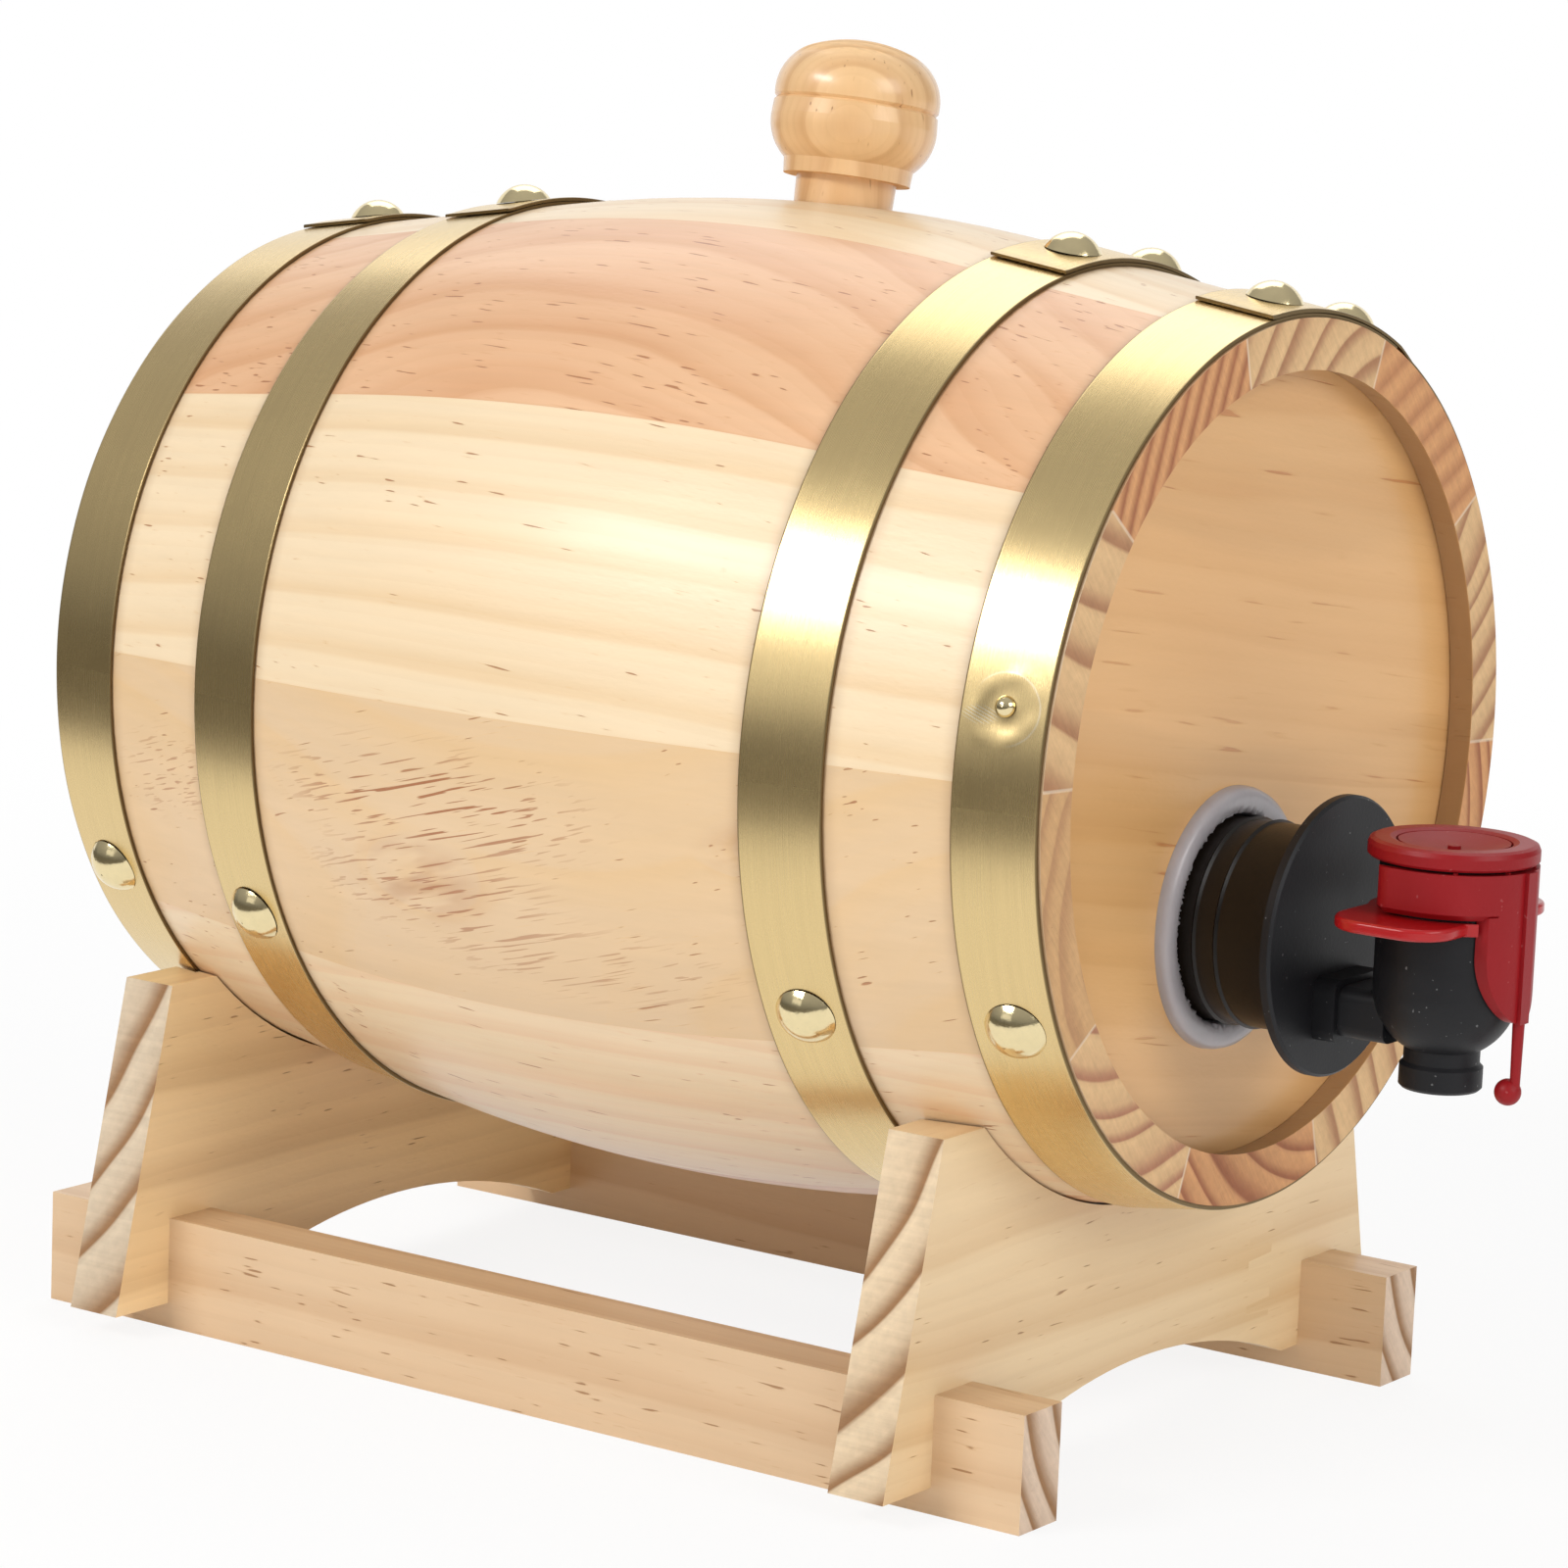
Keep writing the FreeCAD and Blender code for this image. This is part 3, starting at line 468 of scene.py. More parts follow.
class Wood(Finish):
    """Sawn and varnished pine: growth rings, fibres, resin flecks and sawn ends."""

    def __init__(self, name, light, dark, fleck, grain, gloss, end_light=None, end_dark=None,
                 hooped=False):
        super().__init__(name, coat_roughness=0.22, coat_ior=1.45, specular_ior_level=0.5)
        self.light, self.dark, self.fleck, self.grain = light, dark, fleck, grain
        self.lay()
        late = self.rings()
        tone = self.face(late)
        ticks, tone = self.flecked(tone)
        tone = self.marked(tone)
        end_tone, rough = self.sawn(late, end_light or light, end_dark or dark)
        tone = self.blend(self.end, tone, end_tone)
        if hooped:
            tone = self.glue_and_painted_shading(tone)
        skin = self.noise(self.shifted, (1500.0, 600.0, 1500.0), 1.0)
        height = self.fibre * 0.35 + self.thread * 0.3 + skin * 0.45
        height = height - ticks * 0.7 + rough * self.end
        self.set("Base Color", tone)
        self.set("Roughness", 0.36 + self.thread * 0.12 + self.end * 0.3)
        self.set("Coat Weight", gloss * (1 - self.end))
        self.bump(height, WOOD_RELIEF)

    def lay(self):
        """Places in the board's own frame, and the noises that several parts share."""
        grain = self.grain
        self.spin = Euler(grain.turn).to_matrix()
        where = self.place()
        values = {"Vector": where, "Location": -(self.spin @ Vector(grain.origin)),
                  "Rotation": grain.turn}
        place = self.node("ShaderNodeMapping", {}, values)
        shift = (grain.seed * 1.7, grain.seed * 0.9, grain.seed * 2.3)
        self.shifted = self.vector("ADD", place, shift)
        self.across, self.along, self.through = self.split(place)
        self.x, self.y, self.z = self.split(where)
        lean = self.join(self.along * grain.lean, 0.0, 0.0)
        self.leaned = self.vector("ADD", self.shifted, lean)
        self.wide = self.noise(self.shifted, (22.0, 7.0, 22.0))
        self.broad = self.noise(self.shifted, (17.0, 5.0, 31.0))
        self.cloud = self.noise(self.shifted, (38.0, 11.0, 38.0), 3.0, 0.6)
        self.fibre = self.noise(self.shifted, (900.0, 22.0, 900.0), 3.0, 0.6)
        self.thread = self.noise(self.shifted, (330.0, 9.0, 330.0), 2.0, 0.55)
        self.out = self.facing()
        grain_way = self.spin.transposed() @ Vector((0.0, 1.0, 0.0))
        self.end = abs(self.dot(self.out, grain_way)).rise(0.72, 0.9)

    def rings(self):
        """Darkness of the late wood; also keeps the ring count and the shade of the knots."""
        grain = self.grain
        x = self.across - grain.pith[0] * MM + (self.wide - 0.5) * (grain.wander * 2)
        z = self.through - grain.pith[1] * MM + (self.broad - 0.5) * (grain.wander * 2)
        reach = (x * x + z * z).root() / grain.ring
        self.knotted = None
        for knot_x, knot_y, size, depth in grain.knots:
            aside, ahead = self.across - knot_x * MM, self.along - knot_y * MM
            close = (aside * aside * 4.0 + ahead * ahead).root().rise(size * MM, 0.0)
            reach = reach + close * 1.6
            shade = close * depth
            self.knotted = shade if self.knotted is None else self.knotted + shade
        self.reach = reach
        slow = self.join(reach * 0.45, self.along * 1.2, grain.seed)
        uneven = self.noise(slow, (1.0, 1.0, 1.0), 1.0)
        year = (reach + uneven * 1.4).part()
        return self.node("ShaderNodeValToRGB", {"stops": RING_STOPS}, {0: year})

    def face(self, late):
        """Colour along the grain, before flecks."""
        grain, cloud = self.grain, self.cloud
        fine = (self.reach * 3.3 + cloud * 0.8).part().rise(0.35, 1.0) * 0.22
        amount = (late + fine) * grain.strength * (cloud * 0.9 + 0.45)
        tone = self.blend(amount, self.light, self.dark)
        tone = self.blend((cloud - 0.42) * 2.0 * grain.blush, tone, self.dark)
        return self.shade(tone, 1.06 - self.thread * 0.10 - self.fibre * 0.07)

    def flecked(self, tone):
        """Resin flecks, each in a soft halo of late wood."""
        grain = self.grain
        thin = 2400.0 / grain.fleck_width
        spots = self.noise(self.leaned, (thin, 150.0 / grain.fleck_length, thin), 0.0)
        crowd = spots + self.noise(self.shifted, (60.0, 30.0, 60.0)) * 0.26
        level = 0.965 - grain.flecks * 0.075
        ticks = crowd.rise(level, level + 0.05)
        tone = self.blend(crowd.rise(level - 0.07, level) * 0.35, tone, self.dark)
        return ticks, self.blend(ticks * 0.8, tone, self.fleck)

    def marked(self, tone):
        """Paler patches, dark veins and the blotches of knots, where the board has them."""
        if self.grain.mottle:
            paler = tuple(min(channel * 1.18, 1.0) for channel in self.light)
            tone = self.blend(self.broad.rise(0.50, 0.55) * self.grain.mottle, tone, paler)
        for streak_x, streak_y, width, long, depth in self.grain.streaks:
            near = (((self.across - streak_x * MM) / (width * MM)) ** 2.0
                    + ((self.along - streak_y * MM) / (long * MM)) ** 2.0).root()
            veins = self.noise(self.leaned, (2300.0, 80.0, 2300.0), 1.0)
            vein = near.rise(1.0, 0.3) * veins.rise(0.60, 0.645) * depth
            tone = self.blend(vein, tone, self.fleck)
        if self.knotted is not None:
            blotch = self.noise(self.leaned, (300.0, 70.0, 300.0), 2.0, 0.6)
            tone = self.blend(self.knotted * blotch.rise(0.36, 0.62), tone, self.fleck)
        return tone

    def sawn(self, late, light, dark):
        """Colour and roughness of a sawn end, with its saw lines and pores."""
        grain = self.grain
        slant = self.join(self.x + self.z * 0.8, self.z * 0.14, self.along * 0.1)
        saw = self.noise(slant, (1300.0, 1300.0, 1300.0), 2.0, 0.6)
        pores = self.noise(self.shifted, (800.0, 60.0, 800.0))
        if grain.end_lines:
            tilt, pitch = grain.end_lines
            line = (self.x * math.cos(tilt) + self.z * math.sin(tilt)
                    + (self.wide - 0.5) * (3 * MM))
            stops = {"stops": STRIPE_STOPS}
            late = self.node("ShaderNodeValToRGB", stops, {0: (line / pitch).part()})
        tone = self.blend(late * grain.end_strength, light, dark)
        return self.shade(tone, 1.22 - saw * 0.26 - pores * 0.22), saw * 1.4 + pores * 0.8

    def glue_and_painted_shading(self, tone):
        """Glue and dark joints on a stave, painted light on its inner wall, and the painted
        shadow of the hoops beside them.
        """
        # Painted light on the inner wall, where the surface faces in towards the cask's axis.
        through_way = self.spin.transposed() @ Vector((0.0, 0.0, 1.0))
        inner = self.dot(self.out, through_way).rise(-0.3, -0.6)
        tone = self.blend(inner * 0.75, tone, PAINTED_LIGHT_INNER_WALL)
        half = STAVE_WIDTH / 2
        seam = abs(self.across) * math.cos(half) - self.through * math.sin(half)
        glue = seam.rise(-0.32 * MM, -0.12 * MM) * (0.2 + self.cloud)
        tone = self.blend(glue * self.end * 0.7, tone, GLUE)
        tone = self.blend(glue * (1 - self.end) * 0.25, tone, self.dark)
        # Painted shadow beside each hoop: a soft band and a thin dark line, left off the sawn
        # ends.
        gap = nearest_hoop(self.y) - HOOP_HALF
        soft = gap.rise(2.4 * MM, -0.4 * MM) * 0.28
        line = gap.rise(0.35 * MM, 0.05 * MM) * 0.5
        return self.blend((soft + line) * (1 - self.end), tone, HOOP_SHADOW)


def nearest_hoop(y):
    """Distance along the cask to the middle of the nearest hoop."""
    station = abs(y - AXIS_Y)
    return abs(station - HOOP_STATIONS[0]).least(abs(station - HOOP_STATIONS[1]))


class CASK_OT_staves(bpy.types.Operator):
    """Dresses the ten staves in varnished pine, each with its own growth rings"""

    bl_idname = "cask.staves"
    bl_label = "Staves"

    def execute(self, context):
        s = context.scene.stave_settings
        pale, honey, rosy, russet = (tuple(c) for c in (s.pale, s.honey, s.rosy, s.russet))
        tan, fleck = tuple(s.tan), tuple(s.fleck)
        ring = s.ring_width
        # Early wood, late wood, pith, width of a ring, and how the board differs.
        plans = (
            (rosy, russet, (-30, 20), ring,
             dict(end_strength=0.6, end_lines=(math.radians(-63), 0.0046))),
            (pale, honey, (26, 30), ring * 1.3, dict(strength=0.55)),
            (rosy, russet, (14, 22), ring * 0.75,
             dict(strength=0.55, blush=0.6, flecks=0.8, wander=0.006,
                  end_lines=(math.radians(-20), 0.0031))),
            (pale, honey, (95, 52), ring * 1.9, dict(strength=0.5, blush=0.15, flecks=0.2)),
            (tan, honey, (-8, 30), ring * 1.1,
             dict(strength=0.6, blush=0.9, flecks=0.45, fleck_length=1.3, wander=0.006,
                  lean=0.28, end_strength=0.6,
                  knots=((-3, 12, 17, 0.55), (8, -46, 12, 0.45)),
                  streaks=((9, 8, 11, 36, 0.95), (-4, 10, 10, 28, 0.8),
                           (-12, -14, 8, 34, 0.5), (4, 62, 9, 12, 0.6)))),
            (pale, rosy, (30, 26), ring * 1.2, dict(strength=0.5, flecks=0.6)),
            (rosy, russet, (-20, 18), ring, {}),
            (pale, honey, (70, 48), ring * 1.5, dict(strength=0.6)),
            (rosy, russet, (10, 22), ring * 0.9, dict(strength=0.6)),
            (pale, honey, (-40, 36), ring * 1.2, dict(strength=0.6)),
        )
        for number, (light, dark, pith, width, more) in enumerate(plans, 1):
            outward = FIRST_STAVE + STAVE_WIDTH * (number - 1)
            turn = (0.0, outward - math.pi / 2, 0.0)
            grain = Grain((0.0, AXIS_Y, AXIS_Z), turn, pith, width, float(number), **more)
            finish = Wood("stave_pine_%02d" % number, light, dark, fleck, grain, CASK_GLOSS,
                          tinted(light, STAVE_END_LIGHT), tinted(dark, STAVE_END_DARK), True)
            dress(finish, "stave_%02d" % number)
        return {"FINISHED"}


class CASK_OT_heads(bpy.types.Operator):
    """Dresses the two heads in honey pine, with the grain level before the cask was rolled"""

    bl_idname = "cask.heads"
    bl_label = "Heads"

    def execute(self, context):
        s = context.scene.head_settings
        turn = (0.0, -CASK_ROLL, math.pi / 2)
        for number, node in enumerate(("head_front", "head_rear")):
            grain = Grain((0.0, 0.0, AXIS_Z), turn, (-20, 90), 0.0065, 20.0 + number,
                          strength=0.35, flecks=0.5, blush=0.5, wander=0.006,
                          fleck_length=2.0, fleck_width=1.7, lean=0.0, mottle=0.35)
            finish = Wood("head_pine_%d" % number, tuple(s.light), tuple(s.dark),
                          tuple(s.dash), grain, CASK_GLOSS)
            dress(finish, node)
        return {"FINISHED"}


class CASK_OT_bung(bpy.types.Operator):
    """Dresses the turned bung in varnished wood with the grain along its stem"""

    bl_idname = "cask.bung"
    bl_label = "Bung"

    def execute(self, context):
        s = context.scene.head_settings
        light, dark = tuple(s.bung_light), tuple(s.bung_dark)
        low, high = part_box("bung")
        top = ((low[0] + high[0]) / 2, AXIS_Y, high[2])
        grain = Grain(top, (math.pi / 2, CASK_ROLL, 0.0), (52, 24), 0.0032, 31.0,
                      strength=0.55, flecks=0.25, blush=0.4, wander=0.003, end_strength=0.6)
        finish = Wood("turned_wood", light, dark, tuple(s.bung_fleck), grain, BUNG_GLOSS)
        dress(finish, "bung")
        return {"FINISHED"}


class CASK_OT_cradle(bpy.types.Operator):
    """Dresses the rails and boards of the cradle in bare pine with sawn ends"""

    bl_idname = "cask.cradle"
    bl_label = "Cradle"

    def execute(self, context):
        s = context.scene.cradle_settings
        mark = tuple(s.end_mark)
        plain = (1.0, 1.0, 1.0)
        boards = (("board_front", -50, 44.0, plain), ("board_front_end", -50, 44.5, plain),
                  ("board_rear", 96, 45.0, REAR_BOARD_PAINTED_LIGHT))
        for node, y, seed, lift in boards:
            grain = Grain((0.0, y * MM, 0.03), (0.0, 0.0, math.pi / 2), (-60, 40), 0.0075, seed,
                          strength=0.6, flecks=0.25, blush=0.35, fleck_length=1.3)
            # The rear board's faces carry painted light; its ends are divided back to the plain
            # end colour.
            ends = tuple(end / more for end, more in zip(tinted(s.light, BOARD_END), lift))
            finish = Wood("board_pine_" + node, tinted(s.light, lift), tuple(s.dark),
                          tuple(s.fleck), grain, CRADLE_GLOSS, ends, mark)
            dress(finish, node)
        for number, (node, x) in enumerate((("rail_left", -49), ("rail_right", 49))):
            grain = Grain((x * MM, 0.0, 0.008), (0.0, 0.0, 0.0), (35, 20), 0.0055, 50.0 + number,
                          strength=0.5, flecks=0.5, blush=0.4, wander=0.003, fleck_length=1.6)
            finish = Wood("rail_pine_%d" % number, tuple(s.rail_light), tuple(s.rail_dark),
                          tuple(s.rail_fleck), grain, CRADLE_GLOSS,
                          tinted(s.rail_light, RAIL_END), mark)
            dress(finish, node)
        return {"FINISHED"}


def piece_from(mesh, name, crease):
    """A smooth-shaded object from a mesh, sharp where its faces turn by more than crease."""
    data = bpy.data.meshes.new(name)
    for edge in mesh.edges:
        edge.smooth = len(edge.link_faces) == 2 and edge.calc_face_angle(0.0) < crease
    for face in mesh.faces:
        face.smooth = True
    mesh.to_mesh(data)
    mesh.free()
    obj = bpy.data.objects.new(name, data)
    bpy.context.scene.collection.objects.link(obj)
    return obj


def join_rows(mesh, here, after):
    """Faces between two closed rows of points."""
    for index in range(len(here)):
        following = (index + 1) % len(here)
        mesh.faces.new((here[index], here[following], after[following], after[index]))


def hoop_band(name, node, lap_end, s, brad):
    """A strip bent round the cask, its free end lapped over the hidden one, its edges eased."""
    front, rear = span(node, 1)
    widest = span(node, 0)[1]
    slope = math.tan(s.cone_angle)
    wide_end = rear if (front + rear) / 2 < AXIS_Y else front
    step = lap_end - s.lap_reach
    start = step + s.lap_joggle * 1.25
    end = lap_end + FULL_TURN
    # Shares of the width, close together at the edges, and how far those edges drop.
    cells, count = DENTED_STRIP if brad else PLAIN_STRIP
    inside = [0.035 + 0.93 * part / cells for part in range(1, cells)]
    across = [0.0, 0.008, 0.02, 0.035, *inside, 0.965, 0.98, 0.992, 1.0]
    eased = {0.0: 0.11 * MM, 1.0: 0.11 * MM, 0.008: 0.03 * MM, 0.992: 0.03 * MM}
    mesh = bmesh.new()
    rows = []
    for number in range(count + 1):
        angle = start + (end - start) * number / count
        lift = min(max((angle - step - FULL_TURN) / s.lap_joggle, 0.0), 1.0)
        lift *= s.strip_thickness + s.lap_gap
        sway = 0.03 * MM * math.sin(angle * 7 + front * 900) + 0.02 * MM * math.sin(angle * 17)
        spring = max(0.0, 1 - (end - angle) / 0.03) ** 2 * 0.12 * MM
        row = []
        for outer in (True, False):
            for part in across if outer else reversed(across):
                y = front + (rear - front) * part
                radius = widest - abs(wide_end - y) * slope + lift + spring
                if outer:
                    dent = dent_depth(y, angle, radius, brad) * s.dent
                    radius += sway - eased.get(part, 0.0) - dent
                else:
                    radius -= s.strip_thickness
                point = (radius * math.cos(angle), y, AXIS_Z + radius * math.sin(angle))
                row.append(mesh.verts.new(point))
        rows.append(row)
    for here, after in zip(rows, rows[1:]):
        join_rows(mesh, here, after)
    mesh.faces.new(rows[0])
    mesh.faces.new(rows[-1][::-1])
    bmesh.ops.recalc_face_normals(mesh, faces=mesh.faces)
    return piece_from(mesh, name, STRIP_CREASE)


def dent_depth(y, angle, radius, brad):
    """How far the strip is beaten in round the brad: a shallow bowl with a faint uneven lip."""
    if not brad:
        return 0.0
    aside = y - brad[0]
    down = ((angle - brad[1] + math.pi) % FULL_TURN - math.pi) * radius
    apart = math.hypot(aside, down) / MM
    way = math.atan2(down, aside)
    bowl = math.exp(-((apart - 1.9) / 1.5) ** 2) * (0.75 + 0.35 * math.sin(way + 0.6))
    lip = math.exp(-((apart - 4.3 - 0.5 * math.sin(2 * way)) / 0.8) ** 2)
    return bowl - 0.16 * lip * (1 + math.sin(way * 5 + 1) * math.cos(way * 2))


def brass(name, tone, edge, brushing, brad=None):
    """Brushed strip: lines along the strip, painted shade on its edges and sides, and scars where
    a brad was driven.
    """
    finish = Finish(name, metallic=1.0)
    x, y, z = finish.split(finish.place())
    z = z - AXIS_Z
    angle = finish.node("ShaderNodeMath", {"operation": "ARCTAN2"}, {0: z, 1: x})
    strip = finish.join(angle * 0.07, y, 0.0)
    lines = finish.noise(strip, (60.0, 9000.0, 1.0), 2.0, 0.6)
    bands = finish.noise(strip, (30.0, 900.0, 1.0))
    smears = finish.noise(strip, (120.0, 90.0, 1.0), 3.0, 0.6)
    inset = HOOP_HALF - nearest_hoop(y)
    out_x, _, out_z = finish.split(finish.facing())
    outward = (out_x * x + out_z * z) / (x * x + z * z).root()
    # Painted shade on the strip's edges and on faces that turn away from the cask's axis; these
    # are also made rougher.
    rim = inset.rise(0.32 * MM, 0.05 * MM).most(abs(outward).rise(0.9, 0.55))
    shaded = finish.shade(tone, 1.08 - lines * 0.12 - bands * 0.10)
    shaded = finish.blend(rim * 0.85, shaded, edge)
    if brad:
        shaded = finish.blend(scars(y, angle, smears, brad), shaded, SCRATCH)
    finish.set("Base Color", shaded)
    finish.set("Roughness", 0.19 + lines * 0.08 + smears * 0.08 + rim * 0.25)
    finish.bump(lines * brushing + bands * 0.4, STRIP_RELIEF)
    return finish


def scars(y, angle, smears, brad):
    """Short scratches below and behind the brad, and a faint arc where the hammer slipped."""
    aside, down = y - brad[0], (angle - brad[1]) * HOOP_RADIUS
    apart = (aside * aside + down * down).root()
    over, under = aside - 3.4 * MM, down - 1.1 * MM
    patch = (over * over * 0.4 + under * under * 1.6).root().rise(1.9 * MM, 1.0 * MM)
    ridge = ((under * 0.92 + over * 0.38 + smears * (0.4 * MM)) / (0.42 * MM)).part()
    scratches = abs(ridge - 0.5).rise(0.18, 0.06) * patch
    arc = abs(apart - 4.6 * MM - smears * (0.6 * MM)).rise(0.22 * MM, 0.02 * MM)
    arc = arc * (over + under * 0.6).rise(-1.0 * MM, -4.0 * MM)
    return scratches * 0.75 + arc * 0.35


class CASK_OT_hoops(bpy.types.Operator):
    """Makes the four hoops as lapped strips of brushed brass, the front one dented"""

    bl_idname = "cask.hoops"
    bl_label = "Hoops"

    def execute(self, context):
        s = context.scene.brass_settings
        low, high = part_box("hoop_brad")
        brad = ((low[1] + high[1]) / 2, math.atan2((low[2] + high[2]) / 2 - AXIS_Z, low[0]))
        tone, edge = tuple(s.hoop), tuple(s.edge)
        plain = brass("brushed_brass", tone, edge, s.brushing)
        scarred = brass("brushed_brass_scarred", tone, edge, s.brushing, brad)
        for node in HOOPS:
            dented = node == "hoop_front_end"
            lap_end = s.end_lap if node.endswith("end") else s.bilge_lap
            name = node.replace("hoop", "band")
            band = hoop_band(name, node, lap_end, s, brad if dented else None)
            band.data.materials.append((scarred if dented else plain).material)
            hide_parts(node)
            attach(band, "cask")
        return {"FINISHED"}


class CASK_OT_fasteners(bpy.types.Operator):
    """Dresses the nails, rivets and brad in polished brass"""

    bl_idname = "cask.fasteners"
    bl_label = "Nails and rivets"

    def execute(self, context):
        s = context.scene.brass_settings
        finish = Finish("polished_brass", metallic=1.0)
        place = finish.place()
        smears = finish.noise(place, (500.0, 500.0, 500.0), 3.0, 0.6)
        pits = finish.noise(place, (2600.0, 2600.0, 2600.0), 1.0)
        finish.set("Base Color", finish.shade(tuple(s.dome), 1.05 - smears * 0.15))
        finish.set("Roughness", 0.10 + smears * 0.10)
        finish.bump(smears * 0.5 + pits * 0.3, DOME_RELIEF)
        dress(finish, "hoop_nails", "hoop_rivets", "hoop_brad")
        return {"FINISHED"}


def lathe(name, profile, sides, centre, ragged):
    """A closed ring turned about a level axis that runs front to back."""
    mesh = bmesh.new()
    rows = []
    for step in range(sides):
        angle = FULL_TURN * step / sides
        row = []
        for index, (radius, depth) in enumerate(profile):
            extra, push = ragged(index, angle)
            reach = (radius + extra) * MM
            point = (centre[0] + reach * math.cos(angle), (depth + push) * MM,
                     centre[1] + reach * math.sin(angle))
            row.append(mesh.verts.new(point))
        rows.append(row)
    for here, after in zip(rows, rows[1:] + rows[:1]):
        join_rows(mesh, here, after)
    bmesh.ops.recalc_face_normals(mesh, faces=mesh.faces)
    return piece_from(mesh, name, RING_CREASE)


class CASK_OT_gland(bpy.types.Operator):
    """Makes the milky gland ring with its torn inner edge"""

    bl_idname = "cask.gland"
    bl_label = "Gland ring"

    def execute(self, context):
        front, back = (place / MM for place in span("gland", 1))
        outer = (span("gland", 0)[1] - span("gland", 0)[0]) / 2 / MM
        face = span("head_front", 1)[0] / MM
        # Radius and depth, in millimetres, from the head round the lip to the sleeve.
        profile = [(outer, face), (outer - 0.05, face - 0.7), (outer - 0.35, front + 0.45),
                   (outer - 0.95, front + 0.08), (outer - 1.7, front),
                   (outer - 2.4, front + 0.08), (outer - 3.0, front + 0.25),
                   (outer - 3.5, front + 0.55), (outer - 3.7, front + 1.0),
                   (outer - 3.75, front + 2.0), (outer - 3.6, back), (outer - 2.1, back),
                   (outer - 2.1, face)]
        dice = random.Random(7)
        nicks = [dice.uniform(-1, 1) * dice.uniform(0.3, 1) for _ in range(RING_SIDES)]

        def ragged(index, angle):
            """How far a point of the profile strays outwards and along, in millimetres."""
            if index not in TORN_POINTS:
                return 0.03 * math.sin(angle * 5 + index), 0.0
            nick = nicks[int(angle / FULL_TURN * RING_SIDES + index * 0.34) % RING_SIDES]
            return 0.16 * nick, 0.35 * nick

        ring = lathe("gland_ring", profile, RING_SIDES, (TAP_X, TAP_Z), ragged)
        finish = Finish("milky_plastic", subsurface_weight=0.35, subsurface_scale=0.002,
                        subsurface_radius=(1.0, 0.8, 0.8), coat_weight=0.3, coat_roughness=0.2)
        place = finish.place()
        cloud = finish.noise(place, (120.0, 120.0, 120.0), 3.0)
        grit = finish.noise(place, (900.0, 900.0, 900.0))
        milky = tuple(context.scene.tap_settings.milky)
        finish.set("Base Color", finish.shade(milky, 0.85 + cloud * 0.3))
        finish.set("Roughness", 0.25 + cloud * 0.2)
        finish.bump(cloud * 1.2 + grit * 0.5, GLAND_RELIEF)
        ring.data.materials.append(finish.material)
        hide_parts("gland")
        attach(ring, "cask")
        return {"FINISHED"}


def plastic(name, tone, dust, speck, **constants):
    """Moulded plastic with a little dust: the finish, its skin, flow marks and colour."""
    finish = Finish(name, specular_ior_level=0.3, **constants)
    place = finish.place()
    skin = finish.noise(place, (2200.0, 2200.0, 2200.0))
    flow = finish.noise(place, (90.0, 90.0, 60.0))
    specks = finish.noise(place, (1500.0, 1500.0, 1500.0), 0.0).rise(0.81, 0.84)
    shaded = finish.shade(tone, 0.9 + flow * 0.2)
    return finish, skin, flow, finish.blend(specks * dust, shaded, speck)


class CASK_OT_tap(bpy.types.Operator):
    """Dresses the tap body and its valve in black plastic"""

    bl_idname = "cask.tap"
    bl_label = "Tap"

    def execute(self, context):
        s = context.scene.tap_settings
        finish, skin, flow, tone = plastic("black_plastic", tuple(s.black), s.dust,
                                           tuple(s.grey_dust))
        flange_back = span("tap_body", 1)[0] + FLANGE_DEPTH
        y = finish.split(finish.place())[1]
        neck = y.rise(flange_back, flange_back + 0.6 * MM)
        finish.set("Base Color", finish.blend(neck, tone, tuple(s.neck)))
        finish.set("Roughness", 0.42 + flow * 0.12 - neck * 0.14)
        finish.bump(skin * 0.5 + flow * 0.6, PLASTIC_RELIEF)
        dress(finish, "tap_body", "valve_stem", "valve_plug")
        return {"FINISHED"}


class CASK_OT_button(bpy.types.Operator):
    """Dresses the button, its rim, the finger grip and the tear-off guard in red plastic"""

    bl_idname = "cask.button"
    bl_label = "Button and guard"

    def execute(self, context):
        s = context.scene.tap_settings
        # Name, colour, roughness, coat and nodes.
        parts = (
            ("satin_red", s.red, 0.38, 0.0, ("button_pad", "button_rim", "tear_guard")),
            ("gloss_red", s.bright_red, 0.24, 0.4, ("finger_grip",)),
        )
        for name, tone, roughness, coat, nodes in parts:
            finish, skin, flow, shaded = plastic(
                name, tuple(tone), s.dust * 0.5, tuple(s.pink_dust), coat_weight=coat,
                coat_roughness=0.1, subsurface_weight=0.08, subsurface_scale=0.001)
            finish.set("Base Color", shaded)
            finish.set("Roughness", roughness + flow * 0.12)
            finish.bump(skin * 0.5 + flow * 0.8, PLASTIC_RELIEF)
            dress(finish, *nodes)
        return {"FINISHED"}


def sheet_object(name, corners, finish):
    """A flat sheet of the stage through four corners, divided so that it isn't one face."""
    data = bpy.data.meshes.new(name)
    mesh = bmesh.new()
    mesh.faces.new([mesh.verts.new(corner) for corner in corners])
    bmesh.ops.subdivide_edges(mesh, edges=mesh.edges, cuts=SHEET_CUTS, use_grid_fill=True)
    mesh.to_mesh(data)
    mesh.free()
    data.materials.append(finish.material)
    obj = bpy.data.objects.new(name, data)
    bpy.context.scene.collection.objects.link(obj)
    return obj


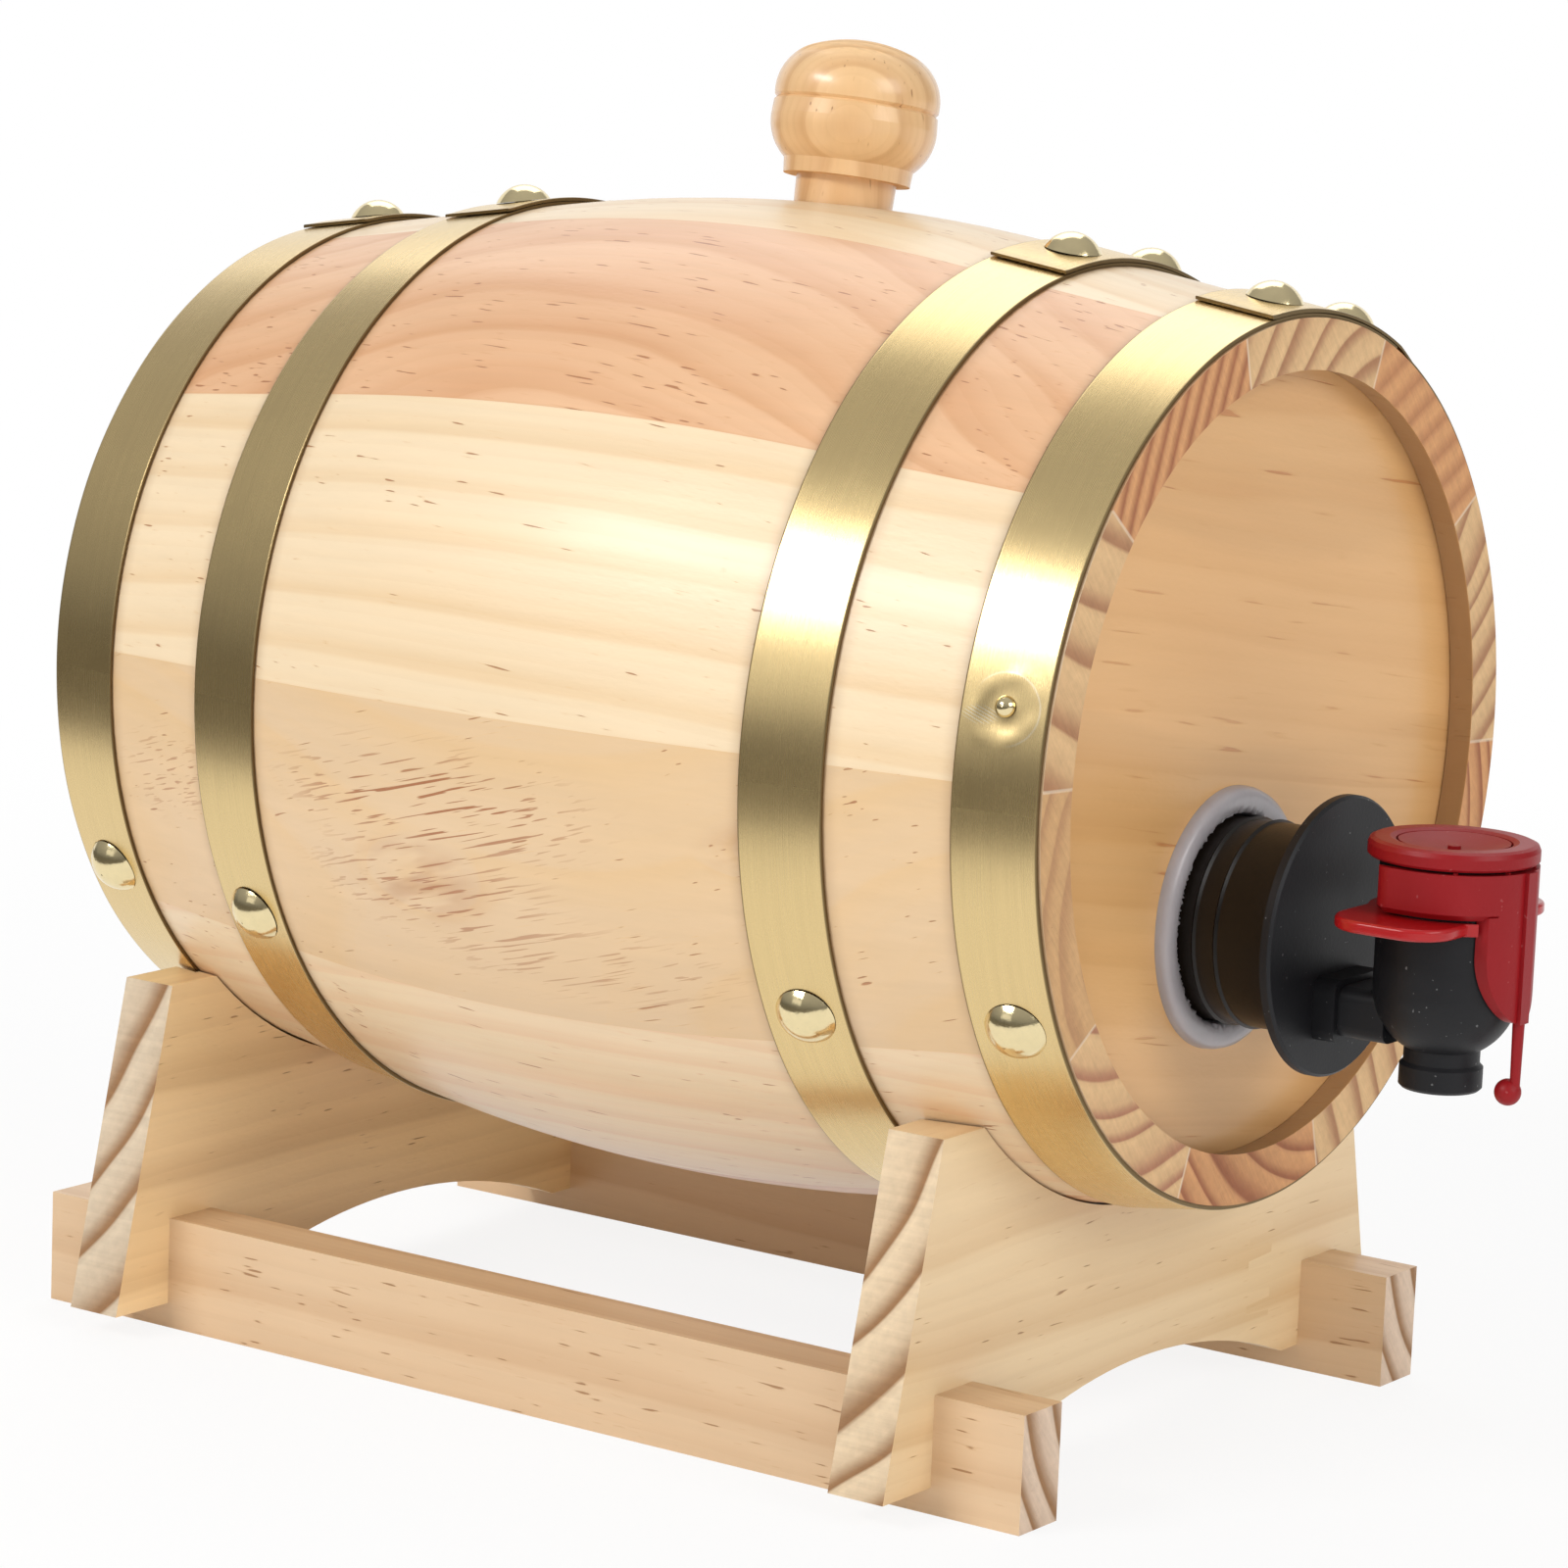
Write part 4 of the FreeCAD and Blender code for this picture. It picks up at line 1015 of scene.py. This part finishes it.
def white_finish(name, tone, glow):
    """Matt white that camera, mirror and glass rays see partly lit by itself, wholly far off."""
    finish = Finish(name, roughness=0.9, specular_ior_level=0.1)
    finish.set("Base Color", tone)
    camera, mirror, glass = finish.node(
        "ShaderNodeLightPath", out=("Is Camera Ray", "Is Glossy Ray", "Is Transmission Ray"))
    light = finish.node("ShaderNodeEmission", {}, {"Color": (1.0, 1.0, 1.0)})
    x, y, _ = finish.split(finish.place())
    far = (x * x + y * y).root().rise(*FAR_OFF)
    amount = camera.most(mirror).most(glass) * (far * (1.0 - glow) + glow)
    mixed = finish.node("ShaderNodeMixShader", {}, {0: amount, 1: finish.surface, 2: light})
    finish.fill(finish.output.inputs[0], mixed)
    return finish


def lamp(name, place, aim, width, height, power):
    """A soft box that points at a place."""
    data = bpy.data.lights.new(name, "AREA")
    data.shape = "RECTANGLE"
    data.size = width
    data.size_y = height
    data.energy = power
    obj = bpy.data.objects.new(name, data)
    obj.location = place
    way = Vector(aim) - Vector(place)
    obj.rotation_euler = way.to_track_quat("-Z", "Y").to_euler()
    bpy.context.scene.collection.objects.link(obj)
    return obj


class CASK_OT_stage(bpy.types.Operator):
    """Sets up the camera, the soft boxes, the floor, the dark card and the backdrop"""

    bl_idname = "cask.stage"
    bl_label = "Stage"

    def execute(self, context):
        scene = context.scene
        s = scene.stage_settings
        scene.view_settings.view_transform = "Standard"
        self.add_camera(scene, s)
        self.add_room(scene)
        white = tuple(s.floor_colour)
        reach = FLOOR_REACH
        corners = [(-reach, -reach, 0), (reach, -reach, 0), (reach, reach, 0), (-reach, reach, 0)]
        sheet_object("floor", corners, white_finish("floor_white", white, FLOOR_GLOW))
        wall = white_finish("backdrop_white", white, BACKDROP_GLOW)
        sheet_object("backdrop", BACKDROP_CORNERS, wall)
        self.add_card()
        for name, place, aim, width, height, watts in SOFT_BOXES:
            box = lamp(name, place, aim, width, height, watts * s.lamp_level)
            box.visible_glossy = name != "soft_box_low"
        return {"FINISHED"}

    def add_card(self):
        """Lays a dark card beside the table, which only the brass and the varnish mirror."""
        finish = Finish("card_dark", roughness=1.0, specular_ior_level=0.0,
                        base_color=(0.0, 0.0, 0.0), emission_color=(1.0, 0.94, 0.82),
                        emission_strength=0.15)
        corners = [(x, y, CARD_HEIGHT) for x, y in CARD_CORNERS]
        card = sheet_object("dark_card", corners, finish)
        card.visible_camera = card.visible_diffuse = card.visible_shadow = False
        card.visible_transmission = False

    def add_camera(self, scene, s):
        """Stands the camera where the picture was taken from."""
        level = math.cos(s.elevation)
        back = Vector((math.sin(s.azimuth) * level, -math.cos(s.azimuth) * level,
                       math.sin(s.elevation)))
        right = (-back).cross(Vector((0, 0, 1))).normalized()
        up = right.cross(-back)
        tilted_right = right * math.cos(s.roll) + up * math.sin(s.roll)
        tilted_up = up * math.cos(s.roll) - right * math.sin(s.roll)
        turn = Matrix((tilted_right, tilted_up, back)).transposed().to_4x4()
        data = bpy.data.cameras.new("view_camera")
        data.sensor_width = 36.0
        data.lens = s.lens
        camera = bpy.data.objects.new("view_camera", data)
        camera.matrix_world = Matrix.Translation(Vector(s.camera_place)) @ turn
        scene.collection.objects.link(camera)
        scene.camera = camera

    def add_room(self, scene):
        """A pale room, darker along the skirting and below the table."""
        world = bpy.data.worlds.new("room")
        world.use_nodes = True
        room = Nodes(world.node_tree)
        height = room.split(room.node("ShaderNodeTexCoord", out="Generated"))[2]
        rising = room.node("ShaderNodeMapRange", {}, {"Value": height, "From Min": -1.0})
        tone = room.node("ShaderNodeValToRGB", {"stops": ROOM_STOPS}, {0: rising})
        light = room.node("ShaderNodeBackground", {}, {"Color": tone})
        room.node("ShaderNodeOutputWorld", {}, {0: light}, out=None)
        scene.world = world


class CASK_PT_panel(bpy.types.Panel):
    """Lists the pieces of the cask and their settings"""

    bl_idname = "CASK_PT_panel"
    bl_label = "Cask dispenser"
    bl_space_type = "VIEW_3D"
    bl_region_type = "UI"
    bl_category = "Cask"

    def draw(self, context):
        for title, group in SETTINGS.items():
            box = self.layout.box()
            settings = getattr(context.scene, title)
            for name in group.__annotations__:
                box.prop(settings, name)
        for operator in OPERATORS:
            self.layout.operator(operator.bl_idname)


SETTINGS = {
    "stage_settings": StageSettings,
    "stave_settings": StaveSettings,
    "head_settings": HeadSettings,
    "cradle_settings": CradleSettings,
    "brass_settings": BrassSettings,
    "tap_settings": TapSettings,
}
OPERATORS = [
    CASK_OT_stage, CASK_OT_staves, CASK_OT_heads, CASK_OT_bung, CASK_OT_cradle, CASK_OT_hoops,
    CASK_OT_fasteners, CASK_OT_gland, CASK_OT_tap, CASK_OT_button,
]


def register():
    for known in [*SETTINGS.values(), *OPERATORS, CASK_PT_panel]:
        bpy.utils.register_class(known)
    for title, group in SETTINGS.items():
        setattr(bpy.types.Scene, title, PointerProperty(type=group))


def unregister():
    for title in SETTINGS:
        delattr(bpy.types.Scene, title)
    for known in [CASK_PT_panel, *OPERATORS, *SETTINGS.values()]:
        bpy.utils.unregister_class(known)


def main():
    """Registers the settings, operators and panel, then dresses the cask with every operator in
    turn.
    """
    register()
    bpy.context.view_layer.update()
    for operator in OPERATORS:
        family, name = operator.bl_idname.split(".")
        getattr(getattr(bpy.ops, family), name)()


if __name__ == "__main__":
    main()
